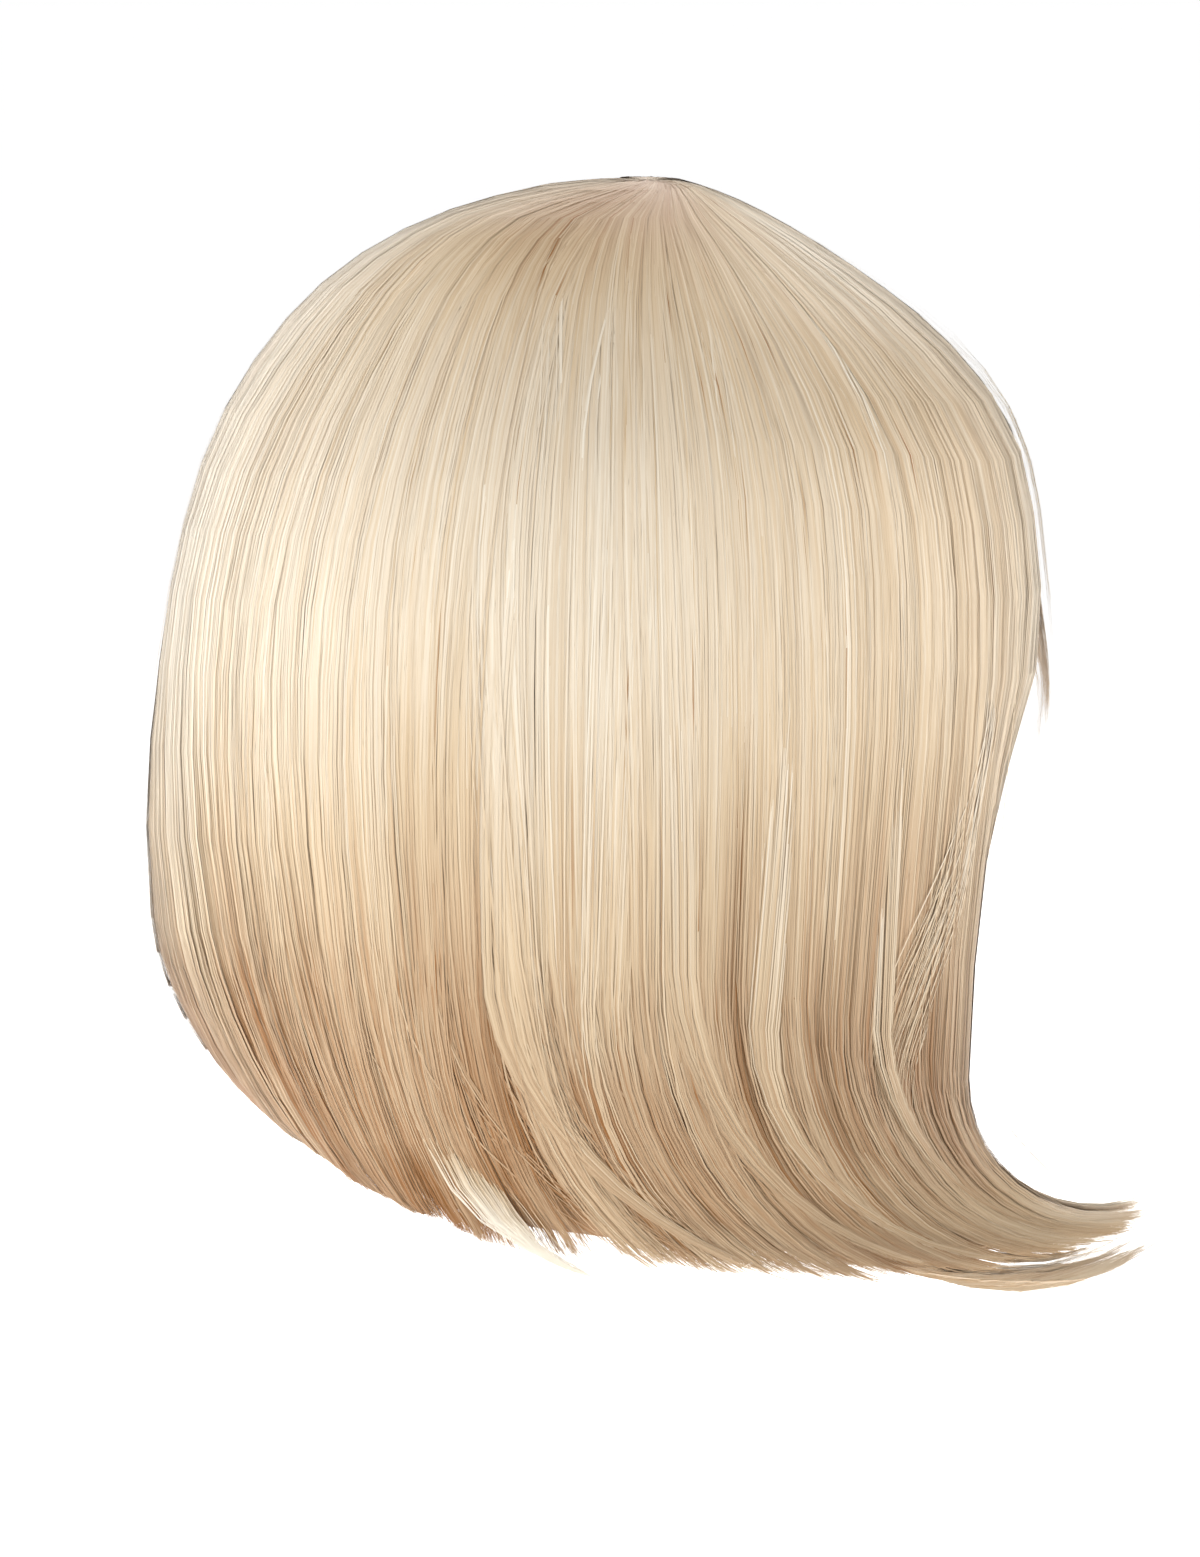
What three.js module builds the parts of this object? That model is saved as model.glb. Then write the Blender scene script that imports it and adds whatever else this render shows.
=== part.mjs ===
// A bob wig as it is worn: a stretch cap, and the hair that is sewn to it, in panels that hang from the crown.
// Millimetres. The origin is the top of the head, inside the cap. +Z is up, the face looks along -Y and the
// wearer's left is +X. An angle goes round the head, seen from above: 0 is the left ear, 90 the back of the head,
// 180 the right ear and 270 the face.

import * as THREE from "three";

// The head that the cap fits
const HEAD_HALF_WIDTH = 78;
const HEAD_HALF_LENGTH = 97;
const HEAD_RISE = 98; // from the widest level of the head up to its top
const NECK_HALF_WIDTH = 58; // the room that the nape hair leaves round the neck
const NECK_HALF_LENGTH = 54;
const NECK_BACK_SHIFT = 12; // the neck stands behind the middle of the head

// Cap
const CAP_WALL = 1.5;
const CAP_TUCK = 0.1; // share by which the cap closes in on the nape
const CAP_TUCK_DEPTH = 52; // over this depth below the widest level

// Room between neighbouring pieces
const CAP_CLEARANCE = 1.1;
const NAPE_SEAT = 1.4; // below the edge of the cap
const PANEL_CLEARANCE = 0.8;

// How thick the hair stands on the cap, at the widest level
const SIDE_FULLNESS = 25;
const FRONT_FULLNESS = 13;
const BACK_FULLNESS = 31;
const CROWN_FULLNESS = 10.7;

// Length of the hair
const CURTAIN_DROP = 143; // from the widest level down to the hem at the back
const TIP_THICKNESS = 2.5; // of a panel at its cut ends
const CURTAIN_THICKNESS = 12; // of a panel just below the cap
const THICKNESS_FADE = 70; // length over which a panel thins to its tips
const LEAVES_CAP = 34; // depth over which a panel parts from the cap's edge
const NAPE_THICKNESS = 5;

// The crown whorl, where the hair starts
const WHORL_X = -13;
const WHORL_Y = 8;
const WHORL_RADIUS = 12;
const WHORL_OFFSET = Math.hypot(WHORL_X, WHORL_Y);
const WHORL_FADE = 0.35; // share of the way down where the hair hangs round the middle of the head again

// Locks
const LOCK_GROOVE = 2.2; // depth of the groove between two locks
const TIP_GROOVE = 0.3; // share of that depth that is left at the tips
const LOCK_NOTCH = 0.07; // share of the curl by which the hair is shorter in a groove

const CAP_HALF_WIDTH = HEAD_HALF_WIDTH + CAP_WALL;
const CAP_HALF_LENGTH = HEAD_HALF_LENGTH + CAP_WALL;
const CAP_RISE = HEAD_RISE + CAP_WALL;
const HAIR_HALF_WIDTH = CAP_HALF_WIDTH + CAP_CLEARANCE + SIDE_FULLNESS;
const HAIR_FRONT = CAP_HALF_LENGTH + CAP_CLEARANCE + FRONT_FULLNESS;
const HAIR_BACK = CAP_HALF_LENGTH + CAP_CLEARANCE + BACK_FULLNESS;
const HAIR_TOP = CAP_WALL + CAP_CLEARANCE + CROWN_FULLNESS;
const DOME_DROP = HAIR_TOP + HEAD_RISE;

// The outside of the hair. "at" runs from the crown, 0, to the hem, 1. The widest level lies at WIDEST.
// Each other column is a share of the hair's reach to that side.
const WIDEST = 0.66;
const OUTSIDE = [
  { at: 0.0, left: 0.0, right: 0.0, front: 0.0, back: 0.0 },
  { at: 0.1, left: 0.22, right: 0.13, front: 0.14, back: 0.23 },
  { at: 0.2, left: 0.43, right: 0.31, front: 0.34, back: 0.45 },
  { at: 0.3, left: 0.63, right: 0.53, front: 0.56, back: 0.61 },
  { at: 0.4, left: 0.8, right: 0.75, front: 0.78, back: 0.75 },
  { at: 0.5, left: 0.92, right: 0.93, front: 0.92, back: 0.88 },
  { at: 0.6, left: 0.99, right: 0.99, front: 0.99, back: 0.97 },
  { at: 0.7, left: 1.05, right: 1.0, front: 0.97, back: 1.0 },
  { at: 0.8, left: 1.11, right: 0.97, front: 0.62, back: 0.98 },
  { at: 0.9, left: 1.12, right: 0.93, front: 0.56, back: 0.9 },
  { at: 1.0, left: 1.08, right: 0.92, front: 0.54, back: 0.74 },
];

// Beside the face the hair draws back, by up to this many degrees, below the fringe.
const EDGE_DRAW = 24;
const EDGE_DRAW_FROM = 0.64;
const EDGE_DRAW_SPAN = 0.16;

// How the ends of the hair bend. "at" is the angle round the head. The bend starts at the share "start" of
// CURTAIN_DROP, has the share "radius" of it as its radius, leads towards the angle "towards" and stops at the cut
// ends, "cut" degrees on.
const CURTAIN_ENDS = [
  { at: -60, start: 0.5, radius: 0.53, towards: 185, cut: 55 },
  { at: -20, start: 0.51, radius: 0.51, towards: 188, cut: 60 },
  { at: 35, start: 0.54, radius: 0.46, towards: 200, cut: 73 },
  { at: 60, start: 0.52, radius: 0.54, towards: 197, cut: 76 },
  { at: 90, start: 0.49, radius: 0.58, towards: 194, cut: 75 },
  { at: 115, start: 0.51, radius: 0.56, towards: 196, cut: 76 },
  { at: 140, start: 0.57, radius: 0.48, towards: 203, cut: 84 },
  { at: 165, start: 0.69, radius: 0.35, towards: 211, cut: 94 },
  { at: 190, start: 0.8, radius: 0.25, towards: 214, cut: 100 },
  { at: 230, start: 0.81, radius: 0.25, towards: 216, cut: 100 },
];

// The fringe bends across the forehead, and here the shares are of the dome, DOME_DROP.
const FRINGE_ENDS = [
  { at: 214, start: 0.9, radius: 1.44, towards: 215, cut: 16 },
  { at: 232, start: 0.82, radius: 0.99, towards: 206, cut: 22 },
  { at: 252, start: 0.7, radius: 0.72, towards: 194, cut: 32 },
  { at: 285, start: 0.62, radius: 0.63, towards: 186, cut: 42 },
  { at: 312, start: 0.66, radius: 0.68, towards: 184, cut: 46 },
];

// The under layer is a little longer than the curtain, and its right-hand ends flip up the most.
const NAPE_ENDS = [
  { at: 56, start: 0.5, radius: 0.55, towards: 190, cut: 66 },
  { at: 90, start: 0.55, radius: 0.56, towards: 194, cut: 73 },
  { at: 125, start: 0.56, radius: 0.52, towards: 198, cut: 84 },
  { at: 160, start: 0.71, radius: 0.42, towards: 208, cut: 106 },
  { at: 185, start: 0.79, radius: 0.38, towards: 213, cut: 121 },
  { at: 208, start: 0.85, radius: 0.32, towards: 213, cut: 119 },
];

// The panels, by the angles that they reach from and to.
const CURTAIN_PANELS = [
  { name: "side_left", from: -48, to: 38, locks: 10 },
  { name: "back_left", from: 38, to: 76, locks: 6 },
  { name: "back_centre", from: 76, to: 118, locks: 7 },
  { name: "back_right", from: 118, to: 156, locks: 6 },
  { name: "side_right", from: 156, to: 192, locks: 6 },
  { name: "front_right", from: 192, to: 214, locks: 4 },
];
const FRINGE_PANEL = { name: "fringe", from: 214, to: 312, locks: 11 };
const NAPE_PANELS = [
  { name: "nape_left", from: 56, to: 108, locks: 5 },
  { name: "nape_right", from: 108, to: 158, locks: 5 },
  { name: "flip_lower", from: 158, to: 208, locks: 5 },
];

// The edge of the cap, by the angle from the nape. "drop" is a share of HEAD_RISE below the top of the head.
const CAP_EDGE = [
  { at: 0, drop: 1.5 },
  { at: 50, drop: 1.3 },
  { at: 88, drop: 1.0 },
  { at: 112, drop: 1.12 },
  { at: 140, drop: 0.8 },
  { at: 180, drop: 0.62 },
];

// The under layer starts at the cap's edge and closes in on the neck, all the way where "closed" is 1.
const NAPE_CLOSING = [
  { at: 0.0, closed: 0.0 },
  { at: 0.3, closed: 0.45 },
  { at: 0.65, closed: 0.9 },
  { at: 1.0, closed: 1.0 },
];

// Mesh fineness
const HANG_STEPS = 12;
const CURL_STEPS = 7;
const NAPE_HANG_STEPS = 4;
const CELLS_PER_LOCK = 2;
const CAP_CELLS = 36;
const CAP_STEPS = 11;
const WHORL_CELLS = 24;
const WHORL_STEPS = 3;
const WHORL_PROBE = 0.05;
const GROOVE_STEPS = 5; // rows over which the grooves deepen from the roots
const SLOPE_STEP = 0.004;
const SLOPE_TURN = 0.25;

// Materials
const HAIR_BLOND = 0xdcc6a2;
const HAIR_LIGHT = 0xe9dcc2;
const HAIR_SHADE = 0xb9976f;
const CAP_BEIGE = 0xcbb08e;
const HAIR_ROUGHNESS = 0.42;
const CLOTH_ROUGHNESS = 0.9;

const radians = THREE.MathUtils.degToRad;
const degrees = THREE.MathUtils.radToDeg;
const lerp = THREE.MathUtils.lerp;

function smooth(x) {
  return THREE.MathUtils.smoothstep(x, 0, 1);
}

// A table's column at a place between its rows, on a smooth curve through them.
function read(rows, at, column) {
  let i = 0;
  while (i < rows.length - 2 && rows[i + 1].at < at) i += 1;
  const slopeAt = (k) => {
    const before = rows[Math.max(k - 1, 0)];
    const after = rows[Math.min(k + 1, rows.length - 1)];
    return (after[column] - before[column]) / (after.at - before.at);
  };
  const span = rows[i + 1].at - rows[i].at;
  const x = THREE.MathUtils.clamp((at - rows[i].at) / span, 0, 1);
  const rise = x * x * (3 - 2 * x);
  return (
    lerp(rows[i][column], rows[i + 1][column], rise) +
    span * x * (1 - x) * ((1 - x) * slopeAt(i) - x * slopeAt(i + 1))
  );
}

function directionTo(angle) {
  return new THREE.Vector3(Math.cos(radians(angle)), Math.sin(radians(angle)), 0);
}

// Depth below the top of the hair, for a place between crown, 0, and hem, 1: round on the dome, then steady.
const HANG_EASE = (2 * DOME_DROP * (1 - WIDEST)) / (WIDEST * CURTAIN_DROP);

function depthAt(share) {
  if (share < WIDEST) return DOME_DROP * (share / WIDEST) ** 2;
  const x = (share - WIDEST) / (1 - WIDEST);
  return DOME_DROP + CURTAIN_DROP * (HANG_EASE * x + (1 - HANG_EASE) * x * x);
}

function shareAt(depth) {
  if (depth < DOME_DROP) return WIDEST * Math.sqrt(depth / DOME_DROP);
  const bow = 1 - HANG_EASE;
  const x = (depth - DOME_DROP) / CURTAIN_DROP;
  return WIDEST + ((1 - WIDEST) * 2 * x) / (HANG_EASE + Math.sqrt(HANG_EASE ** 2 + 4 * bow * x));
}

// Distance from the middle to an oval with its own reach on each of four sides.
function ovalReach(angle, left, right, front, back) {
  const { x, y } = directionTo(angle);
  return 1 / Math.hypot(x / (x > 0 ? left : right), y / (y > 0 ? back : front));
}

// Where the outside of the hair hangs, at an angle and a depth, before its ends bend.
function hangPoint(angle, depth) {
  const share = shareAt(depth);
  const fromFace = Math.cos(radians(angle - 270));
  const draw = EDGE_DRAW * Math.max(0, fromFace) * smooth((share - EDGE_DRAW_FROM) / EDGE_DRAW_SPAN);
  const side = angle > 90 && angle < 270 ? -1 : 1;
  const turned = angle + side * draw;
  const reach = ovalReach(
    turned,
    HAIR_HALF_WIDTH * read(OUTSIDE, share, "left"),
    HAIR_HALF_WIDTH * read(OUTSIDE, share, "right"),
    HAIR_FRONT * read(OUTSIDE, share, "front"),
    HAIR_BACK * read(OUTSIDE, share, "back"),
  );
  const whorl = 1 - smooth(share / WHORL_FADE);
  const point = directionTo(turned).multiplyScalar(reach);
  return point.add(new THREE.Vector3(WHORL_X * whorl, WHORL_Y * whorl, HAIR_TOP - depth));
}

// How the hair of a layer ends: the depth at which it starts to bend, how much further it has fallen and how far it
// has swept aside. "travel" is 1 at the start of the bend, and 1 plus the bend in right angles beyond it.
function endOf(layer, angle, travel) {
  const radius = layer.span * read(layer.ends, angle, "radius");
  const bend = Math.max(0, travel - 1) * (Math.PI / 2);
  const aside = radius * (1 - Math.cos(bend));
  return {
    start: layer.base + layer.span * read(layer.ends, angle, "start"),
    fall: radius * Math.sin(bend),
    sweep: directionTo(read(layer.ends, angle, "towards")).multiplyScalar(aside),
  };
}

// A point on the outside of a layer that hangs from the crown, where "travel" is 0.
function crownPoint(layer, angle, travel) {
  const { start, fall, sweep } = endOf(layer, angle, travel);
  const depth = travel < 1 ? depthAt(shareAt(start) * travel) : start + fall;
  return hangPoint(angle, depth).add(sweep);
}

// Depth of the cap's edge below the top of the head.
function capEdge(angle) {
  const fromNape = Math.abs(THREE.MathUtils.euclideanModulo(angle + 90, 360) - 180);
  return HEAD_RISE * read(CAP_EDGE, fromNape, "drop");
}

// Where a ray from the middle of the head leaves the cap's surface, grown by some millimetres.
function capPoint(towards, grown) {
  const down = -HEAD_RISE - towards.z;
  const narrowed = 1 - CAP_TUCK * Math.max(0, down / CAP_TUCK_DEPTH) ** 2;
  const width = (HEAD_HALF_WIDTH + grown) * narrowed;
  const length = (HEAD_HALF_LENGTH + grown) * narrowed;
  const flat = Math.hypot(towards.x / width, towards.y / length);
  const up = Math.max(0, -down) / (HEAD_RISE + grown);
  const scale = 1 / Math.hypot(flat, up);
  const z = down > 0 ? towards.z : -HEAD_RISE - down * scale;
  return new THREE.Vector3(towards.x * scale, towards.y * scale, z);
}

// A point on the outside of the under layer, which starts at the cap's edge, where "travel" is 0.
function napePoint(angle, travel) {
  const top = capEdge(angle) + NAPE_SEAT;
  const hem = DOME_DROP + CURTAIN_DROP - HAIR_TOP;
  const { start, fall, sweep } = endOf(nape, angle, travel);
  const depth = travel < 1 ? lerp(top, start - HAIR_TOP, travel) : start - HAIR_TOP + fall;
  const closed = read(NAPE_CLOSING, (depth - top) / (hem - top), "closed");
  const onCap = capPoint(directionTo(angle).setZ(-top), CAP_WALL).setZ(0);
  const side = NECK_HALF_WIDTH + NAPE_THICKNESS;
  const back = NECK_HALF_LENGTH + NAPE_THICKNESS;
  const onNeck = directionTo(angle).multiplyScalar(ovalReach(angle, side, side, back, back));
  onNeck.y += NECK_BACK_SHIFT;
  return onCap.lerp(onNeck, closed).setZ(-depth).add(sweep);
}

// The outward normal of a surface of angle and travel.
function normalOf(surface, angle, travel) {
  const along = surface(angle, travel + SLOPE_STEP).sub(surface(angle, travel - SLOPE_STEP));
  const around = surface(angle + SLOPE_TURN, travel).sub(surface(angle - SLOPE_TURN, travel));
  return along.cross(around).normalize();
}

// The side of a curtain panel that faces the head. It lies on the cap, and below the cap's edge it parts from it to
// follow the outside at the panel's own thickness.
function curtainInside(surface, angle, travel, toTip) {
  const outer = surface(angle, travel);
  const onCap = capPoint(outer, CAP_WALL + CAP_CLEARANCE);
  const thickness = lerp(TIP_THICKNESS, CURTAIN_THICKNESS, smooth(toTip / THICKNESS_FADE));
  const behind = outer.clone().addScaledVector(normalOf(surface, angle, travel), -thickness);
  return onCap.lerp(behind, smooth((-outer.z - capEdge(angle)) / LEAVES_CAP));
}

// The side of a nape panel that faces the neck. It starts as thick as the cap, thickens and thins to its tips.
function napeInside(surface, angle, travel, toTip) {
  const full = lerp(CAP_WALL, NAPE_THICKNESS, smooth(travel));
  const thickness = lerp(CAP_WALL, full, smooth(toTip / THICKNESS_FADE));
  return surface(angle, travel).addScaledVector(normalOf(surface, angle, travel), -thickness);
}

// A closed solid between an outer and an inner grid of points. The grid may close round on itself, and it may start
// at a pole, where all its columns meet.
function gridSolid(outer, inner, cells, steps, { round = false, pole = false } = {}) {
  const points = [];
  const faces = [];
  const columns = round ? cells : cells + 1;
  const gridOf = (at) => {
    const rows = [];
    for (let j = 0; j <= steps; j += 1) {
      rows.push([]);
      for (let i = 0; i < columns; i += 1) {
        if (pole && j === 0 && i > 0) {
          rows[j].push(rows[0][0]);
        } else {
          rows[j].push(points.push(at(i, j)) - 1);
        }
      }
    }
    return rows;
  };
  const out = gridOf(outer);
  const inn = gridOf(inner);
  const quad = (a, b, c, d) => {
    if (a !== b && b !== c && c !== a) faces.push(a, b, c);
    if (a !== c && c !== d && d !== a) faces.push(a, c, d);
  };
  for (let i = 0; i < cells; i += 1) {
    const next = round ? (i + 1) % cells : i + 1;
    for (let j = 0; j < steps; j += 1) {
      quad(out[j][i], out[j + 1][i], out[j + 1][next], out[j][next]);
      quad(inn[j][next], inn[j + 1][next], inn[j + 1][i], inn[j][i]);
    }
    quad(out[steps][i], inn[steps][i], inn[steps][next], out[steps][next]);
    if (!pole) quad(out[0][next], inn[0][next], inn[0][i], out[0][i]);
  }
  for (let j = 0; j < steps && !round; j += 1) {
    quad(out[j][0], inn[j][0], inn[j + 1][0], out[j + 1][0]);
    quad(inn[j + 1][cells], inn[j][cells], out[j][cells], out[j + 1][cells]);
  }
  const geometry = new THREE.BufferGeometry().setFromPoints(points);
  geometry.setIndex(faces);
  geometry.computeVertexNormals();
  return geometry;
}

// Share of the way down at which the hair is some millimetres from the middle of the whorl.
function whorlShare(angle, radius) {
  const near = hangPoint(angle, depthAt(WHORL_PROBE));
  return (WHORL_PROBE * radius) / near.distanceTo(hangPoint(angle, 0));
}

// How far a lock stands out at a place across it, from 0 in its groove to 1 on its back.
function lockRise(cell) {
  return Math.abs(Math.sin((cell / CELLS_PER_LOCK) * Math.PI));
}

// A panel of locks. "root" gives the travel at which its hair starts.
function panelSolid(panel, layer, surface, inside, root, hangSteps) {
  const cells = panel.locks * CELLS_PER_LOCK;
  const placeAt = (i) => lerp(panel.from, panel.to, i / cells);
  const tipAt = (i) => {
    const cut = read(layer.ends, placeAt(i), "cut") / 90;
    return 1 + cut * (1 - LOCK_NOTCH * (1 - lockRise(i)));
  };
  const travelAt = (i, j) => {
    if (j < hangSteps) return lerp(root(placeAt(i)), 1, j / hangSteps);
    return lerp(1, tipAt(i), (j - hangSteps) / CURL_STEPS);
  };
  const angleAt = (i, travel) => {
    const inward = i === 0 ? 1 : i === cells ? -1 : 0;
    const hanging = surface(placeAt(i), Math.min(travel, 1)).setZ(0);
    const reach = Math.max(hanging.length() - WHORL_OFFSET, WHORL_RADIUS);
    return placeAt(i) + inward * degrees(PANEL_CLEARANCE / 2 / reach);
  };
  const outer = (i, j) => {
    const travel = travelAt(i, j);
    const angle = angleAt(i, travel);
    const toTip = 1 - Math.max(0, travel - 1) / (tipAt(i) - 1);
    const groove = LOCK_GROOVE * (1 - lockRise(i)) * smooth(j / GROOVE_STEPS) * lerp(TIP_GROOVE, 1, toTip);
    return surface(angle, travel).addScaledVector(normalOf(surface, angle, travel), -groove);
  };
  const inner = (i, j) => {
    const travel = travelAt(i, j);
    const angle = angleAt(i, travel);
    const toTip = surface(angle, travel).distanceTo(surface(angle, tipAt(i)));
    return inside(surface, angle, travel, toTip);
  };
  return gridSolid(outer, inner, cells, hangSteps + CURL_STEPS);
}

// A panel that hangs from the whorl.
function crownPanel(panel, layer) {
  const surface = (angle, travel) => crownPoint(layer, angle, travel);
  const root = (angle) => {
    const share = whorlShare(angle, WHORL_RADIUS + PANEL_CLEARANCE);
    return share / shareAt(endOf(layer, angle, 1).start);
  };
  return panelSolid(panel, layer, surface, curtainInside, root, HANG_STEPS);
}

function napePanel(panel) {
  return panelSolid(panel, nape, napePoint, napeInside, () => 0, NAPE_HANG_STEPS);
}

// The cap is a dome down to the widest level of the head, and goes straight down from there to its edge.
function capSolid() {
  const at = (grown) => (i, j) => {
    const angle = (360 * i) / CAP_CELLS;
    const edge = capEdge(angle);
    const around = directionTo(angle);
    const reach = ovalReach(angle, HEAD_HALF_WIDTH, HEAD_HALF_WIDTH, HEAD_HALF_LENGTH, HEAD_HALF_LENGTH);
    const climb = Math.acos(Math.max(0, 1 - edge / HEAD_RISE));
    const wall = Math.max(0, edge - HEAD_RISE);
    const way = (HEAD_RISE * climb + wall) * (j / CAP_STEPS);
    if (way <= HEAD_RISE * climb) {
      const turn = way / HEAD_RISE;
      const z = HEAD_RISE * (Math.cos(turn) - 1);
      return capPoint(around.multiplyScalar(reach * Math.sin(turn)).setZ(z), grown);
    }
    return capPoint(around.setZ(HEAD_RISE * climb - HEAD_RISE - way), grown);
  };
  return gridSolid(at(CAP_WALL), at(0), CAP_CELLS, CAP_STEPS, { round: true, pole: true });
}

// The small round patch at the whorl that the hair springs from.
function whorlSolid() {
  const at = (i, j) => {
    const angle = (360 * i) / WHORL_CELLS;
    return hangPoint(angle, depthAt((whorlShare(angle, WHORL_RADIUS) * j) / WHORL_STEPS));
  };
  const under = (i, j) => capPoint(at(i, j), CAP_WALL + CAP_CLEARANCE);
  return gridSolid(at, under, WHORL_CELLS, WHORL_STEPS, { round: true, pole: true });
}

const curtain = { ends: CURTAIN_ENDS, base: DOME_DROP, span: CURTAIN_DROP };
const fringe = { ends: FRINGE_ENDS, base: 0, span: DOME_DROP };
const nape = { ends: NAPE_ENDS, base: DOME_DROP, span: CURTAIN_DROP };

const wig = new THREE.Group();

function addMesh(name, geometry, color, roughness) {
  const mesh = new THREE.Mesh(geometry, new THREE.MeshStandardMaterial({ color, roughness, metalness: 0 }));
  mesh.name = name;
  wig.add(mesh);
}

addMesh("cap", capSolid(), CAP_BEIGE, CLOTH_ROUGHNESS);
addMesh("crown_whorl", whorlSolid(), HAIR_SHADE, HAIR_ROUGHNESS);
for (const panel of CURTAIN_PANELS) addMesh(panel.name, crownPanel(panel, curtain), HAIR_BLOND, HAIR_ROUGHNESS);
addMesh(FRINGE_PANEL.name, crownPanel(FRINGE_PANEL, fringe), HAIR_LIGHT, HAIR_ROUGHNESS);
for (const panel of NAPE_PANELS) addMesh(panel.name, napePanel(panel), HAIR_SHADE, HAIR_ROUGHNESS);

export default wig;
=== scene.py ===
"""The looks of a bob wig: pale blond hair, strand by strand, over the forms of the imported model."""

import math
from types import SimpleNamespace

import bpy
import numpy as np
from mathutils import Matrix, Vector


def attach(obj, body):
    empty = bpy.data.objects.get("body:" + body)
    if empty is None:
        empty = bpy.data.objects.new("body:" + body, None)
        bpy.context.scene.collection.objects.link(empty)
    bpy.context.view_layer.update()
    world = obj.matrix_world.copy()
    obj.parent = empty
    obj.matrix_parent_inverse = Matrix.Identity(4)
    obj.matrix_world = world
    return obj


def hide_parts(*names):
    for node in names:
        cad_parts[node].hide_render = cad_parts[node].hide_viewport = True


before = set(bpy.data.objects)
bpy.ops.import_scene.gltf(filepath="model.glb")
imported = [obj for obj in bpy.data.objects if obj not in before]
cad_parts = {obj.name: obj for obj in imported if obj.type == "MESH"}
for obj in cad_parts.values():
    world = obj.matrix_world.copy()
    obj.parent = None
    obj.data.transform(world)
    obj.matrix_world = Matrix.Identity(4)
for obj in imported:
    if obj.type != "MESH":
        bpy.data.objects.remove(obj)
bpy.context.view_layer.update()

# The model's own sizes, in millimetres. An angle goes round the head, seen from above: 0 is the left ear, 90
# the back of the head, 180 the right ear and 270 the face.
MM = 0.001
HEAD_HALF_WIDTH = 78
HEAD_HALF_LENGTH = 97
HEAD_RISE = 98
CAP_WALL = 1.5
CAP_TUCK = 0.1
CAP_TUCK_DEPTH = 52
CAP_CLEARANCE = 1.1
NAPE_SEAT = 1.4
NECK_SIDE = 63
NECK_BACK = 59
NECK_BACK_SHIFT = 12
HAIR_HALF_WIDTH = HEAD_HALF_WIDTH + CAP_WALL + CAP_CLEARANCE + 25
HAIR_FRONT = HEAD_HALF_LENGTH + CAP_WALL + CAP_CLEARANCE + 13
HAIR_BACK = HEAD_HALF_LENGTH + CAP_WALL + CAP_CLEARANCE + 31
HAIR_TOP = CAP_WALL + CAP_CLEARANCE + 10.7
DOME_DROP = HAIR_TOP + HEAD_RISE
CURTAIN_DROP = 143
TIP_THICKNESS = 2.5
CURTAIN_THICKNESS = 12
THICKNESS_FADE = 70
LEAVES_CAP = 34
NAPE_THICKNESS = 5
WHORL_X = -13
WHORL_Y = 8
WHORL_RADIUS = 12
WHORL_FADE = 0.35

# The outside of the hair, from the crown, 0, to the hem, 1, as shares of its reach to each side.
WIDEST = 0.66
OUTSIDE = {
    "at": [0.0, 0.1, 0.2, 0.3, 0.4, 0.5, 0.6, 0.7, 0.8, 0.9, 1.0],
    "left": [0.0, 0.22, 0.43, 0.63, 0.8, 0.92, 0.99, 1.05, 1.11, 1.12, 1.08],
    "right": [0.0, 0.13, 0.31, 0.53, 0.75, 0.93, 0.99, 1.0, 0.97, 0.93, 0.92],
    "front": [0.0, 0.14, 0.34, 0.56, 0.78, 0.92, 0.99, 0.97, 0.62, 0.56, 0.54],
    "back": [0.0, 0.23, 0.45, 0.61, 0.75, 0.88, 0.97, 1.0, 0.98, 0.9, 0.74],
}
EDGE_DRAW = 24
EDGE_DRAW_FROM = 0.64
EDGE_DRAW_SPAN = 0.16

# How the ends of each layer bend, by the angle round the head. Starts and radii are shares of the layer's
# span.
CURTAIN_ENDS = {
    "at": [-60, -20, 35, 60, 90, 115, 140, 165, 190, 230],
    "start": [0.5, 0.51, 0.54, 0.52, 0.49, 0.51, 0.57, 0.69, 0.8, 0.81],
    "radius": [0.53, 0.51, 0.46, 0.54, 0.58, 0.56, 0.48, 0.35, 0.25, 0.25],
    "towards": [185, 188, 200, 197, 194, 196, 203, 211, 214, 216],
    "cut": [55, 60, 73, 76, 75, 76, 84, 94, 100, 100],
}
FRINGE_ENDS = {
    "at": [214, 232, 252, 285, 312],
    "start": [0.9, 0.82, 0.7, 0.62, 0.66],
    "radius": [1.44, 0.99, 0.72, 0.63, 0.68],
    "towards": [215, 206, 194, 186, 184],
    "cut": [16, 22, 32, 42, 46],
}
NAPE_ENDS = {
    "at": [56, 90, 125, 160, 185, 208],
    "start": [0.5, 0.55, 0.56, 0.71, 0.79, 0.85],
    "radius": [0.55, 0.56, 0.52, 0.42, 0.38, 0.32],
    "towards": [190, 194, 198, 208, 213, 213],
    "cut": [66, 73, 84, 106, 121, 119],
}
CAP_EDGE = {"at": [0, 50, 88, 112, 140, 180], "drop": [1.5, 1.3, 1.0, 1.12, 0.8, 0.62]}
NAPE_CLOSING = {"at": [0.0, 0.3, 0.65, 1.0], "closed": [0.0, 0.45, 0.9, 1.0]}

# The layers: their ends, the drop at which their span begins, their span, whether they grow from the crown,
# and how much lighter than the curtain they are painted, as painted light that lifts the shade they lie in.
CURTAIN = {"ends": CURTAIN_ENDS, "base": DOME_DROP, "span": CURTAIN_DROP, "from_crown": True, "painted_lighter": 0}
FRINGE = {"ends": FRINGE_ENDS, "base": 0, "span": DOME_DROP, "from_crown": True, "painted_lighter": 0.24}
NAPE = {"ends": NAPE_ENDS, "base": DOME_DROP, "span": CURTAIN_DROP, "from_crown": False, "painted_lighter": 0.26}

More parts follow.
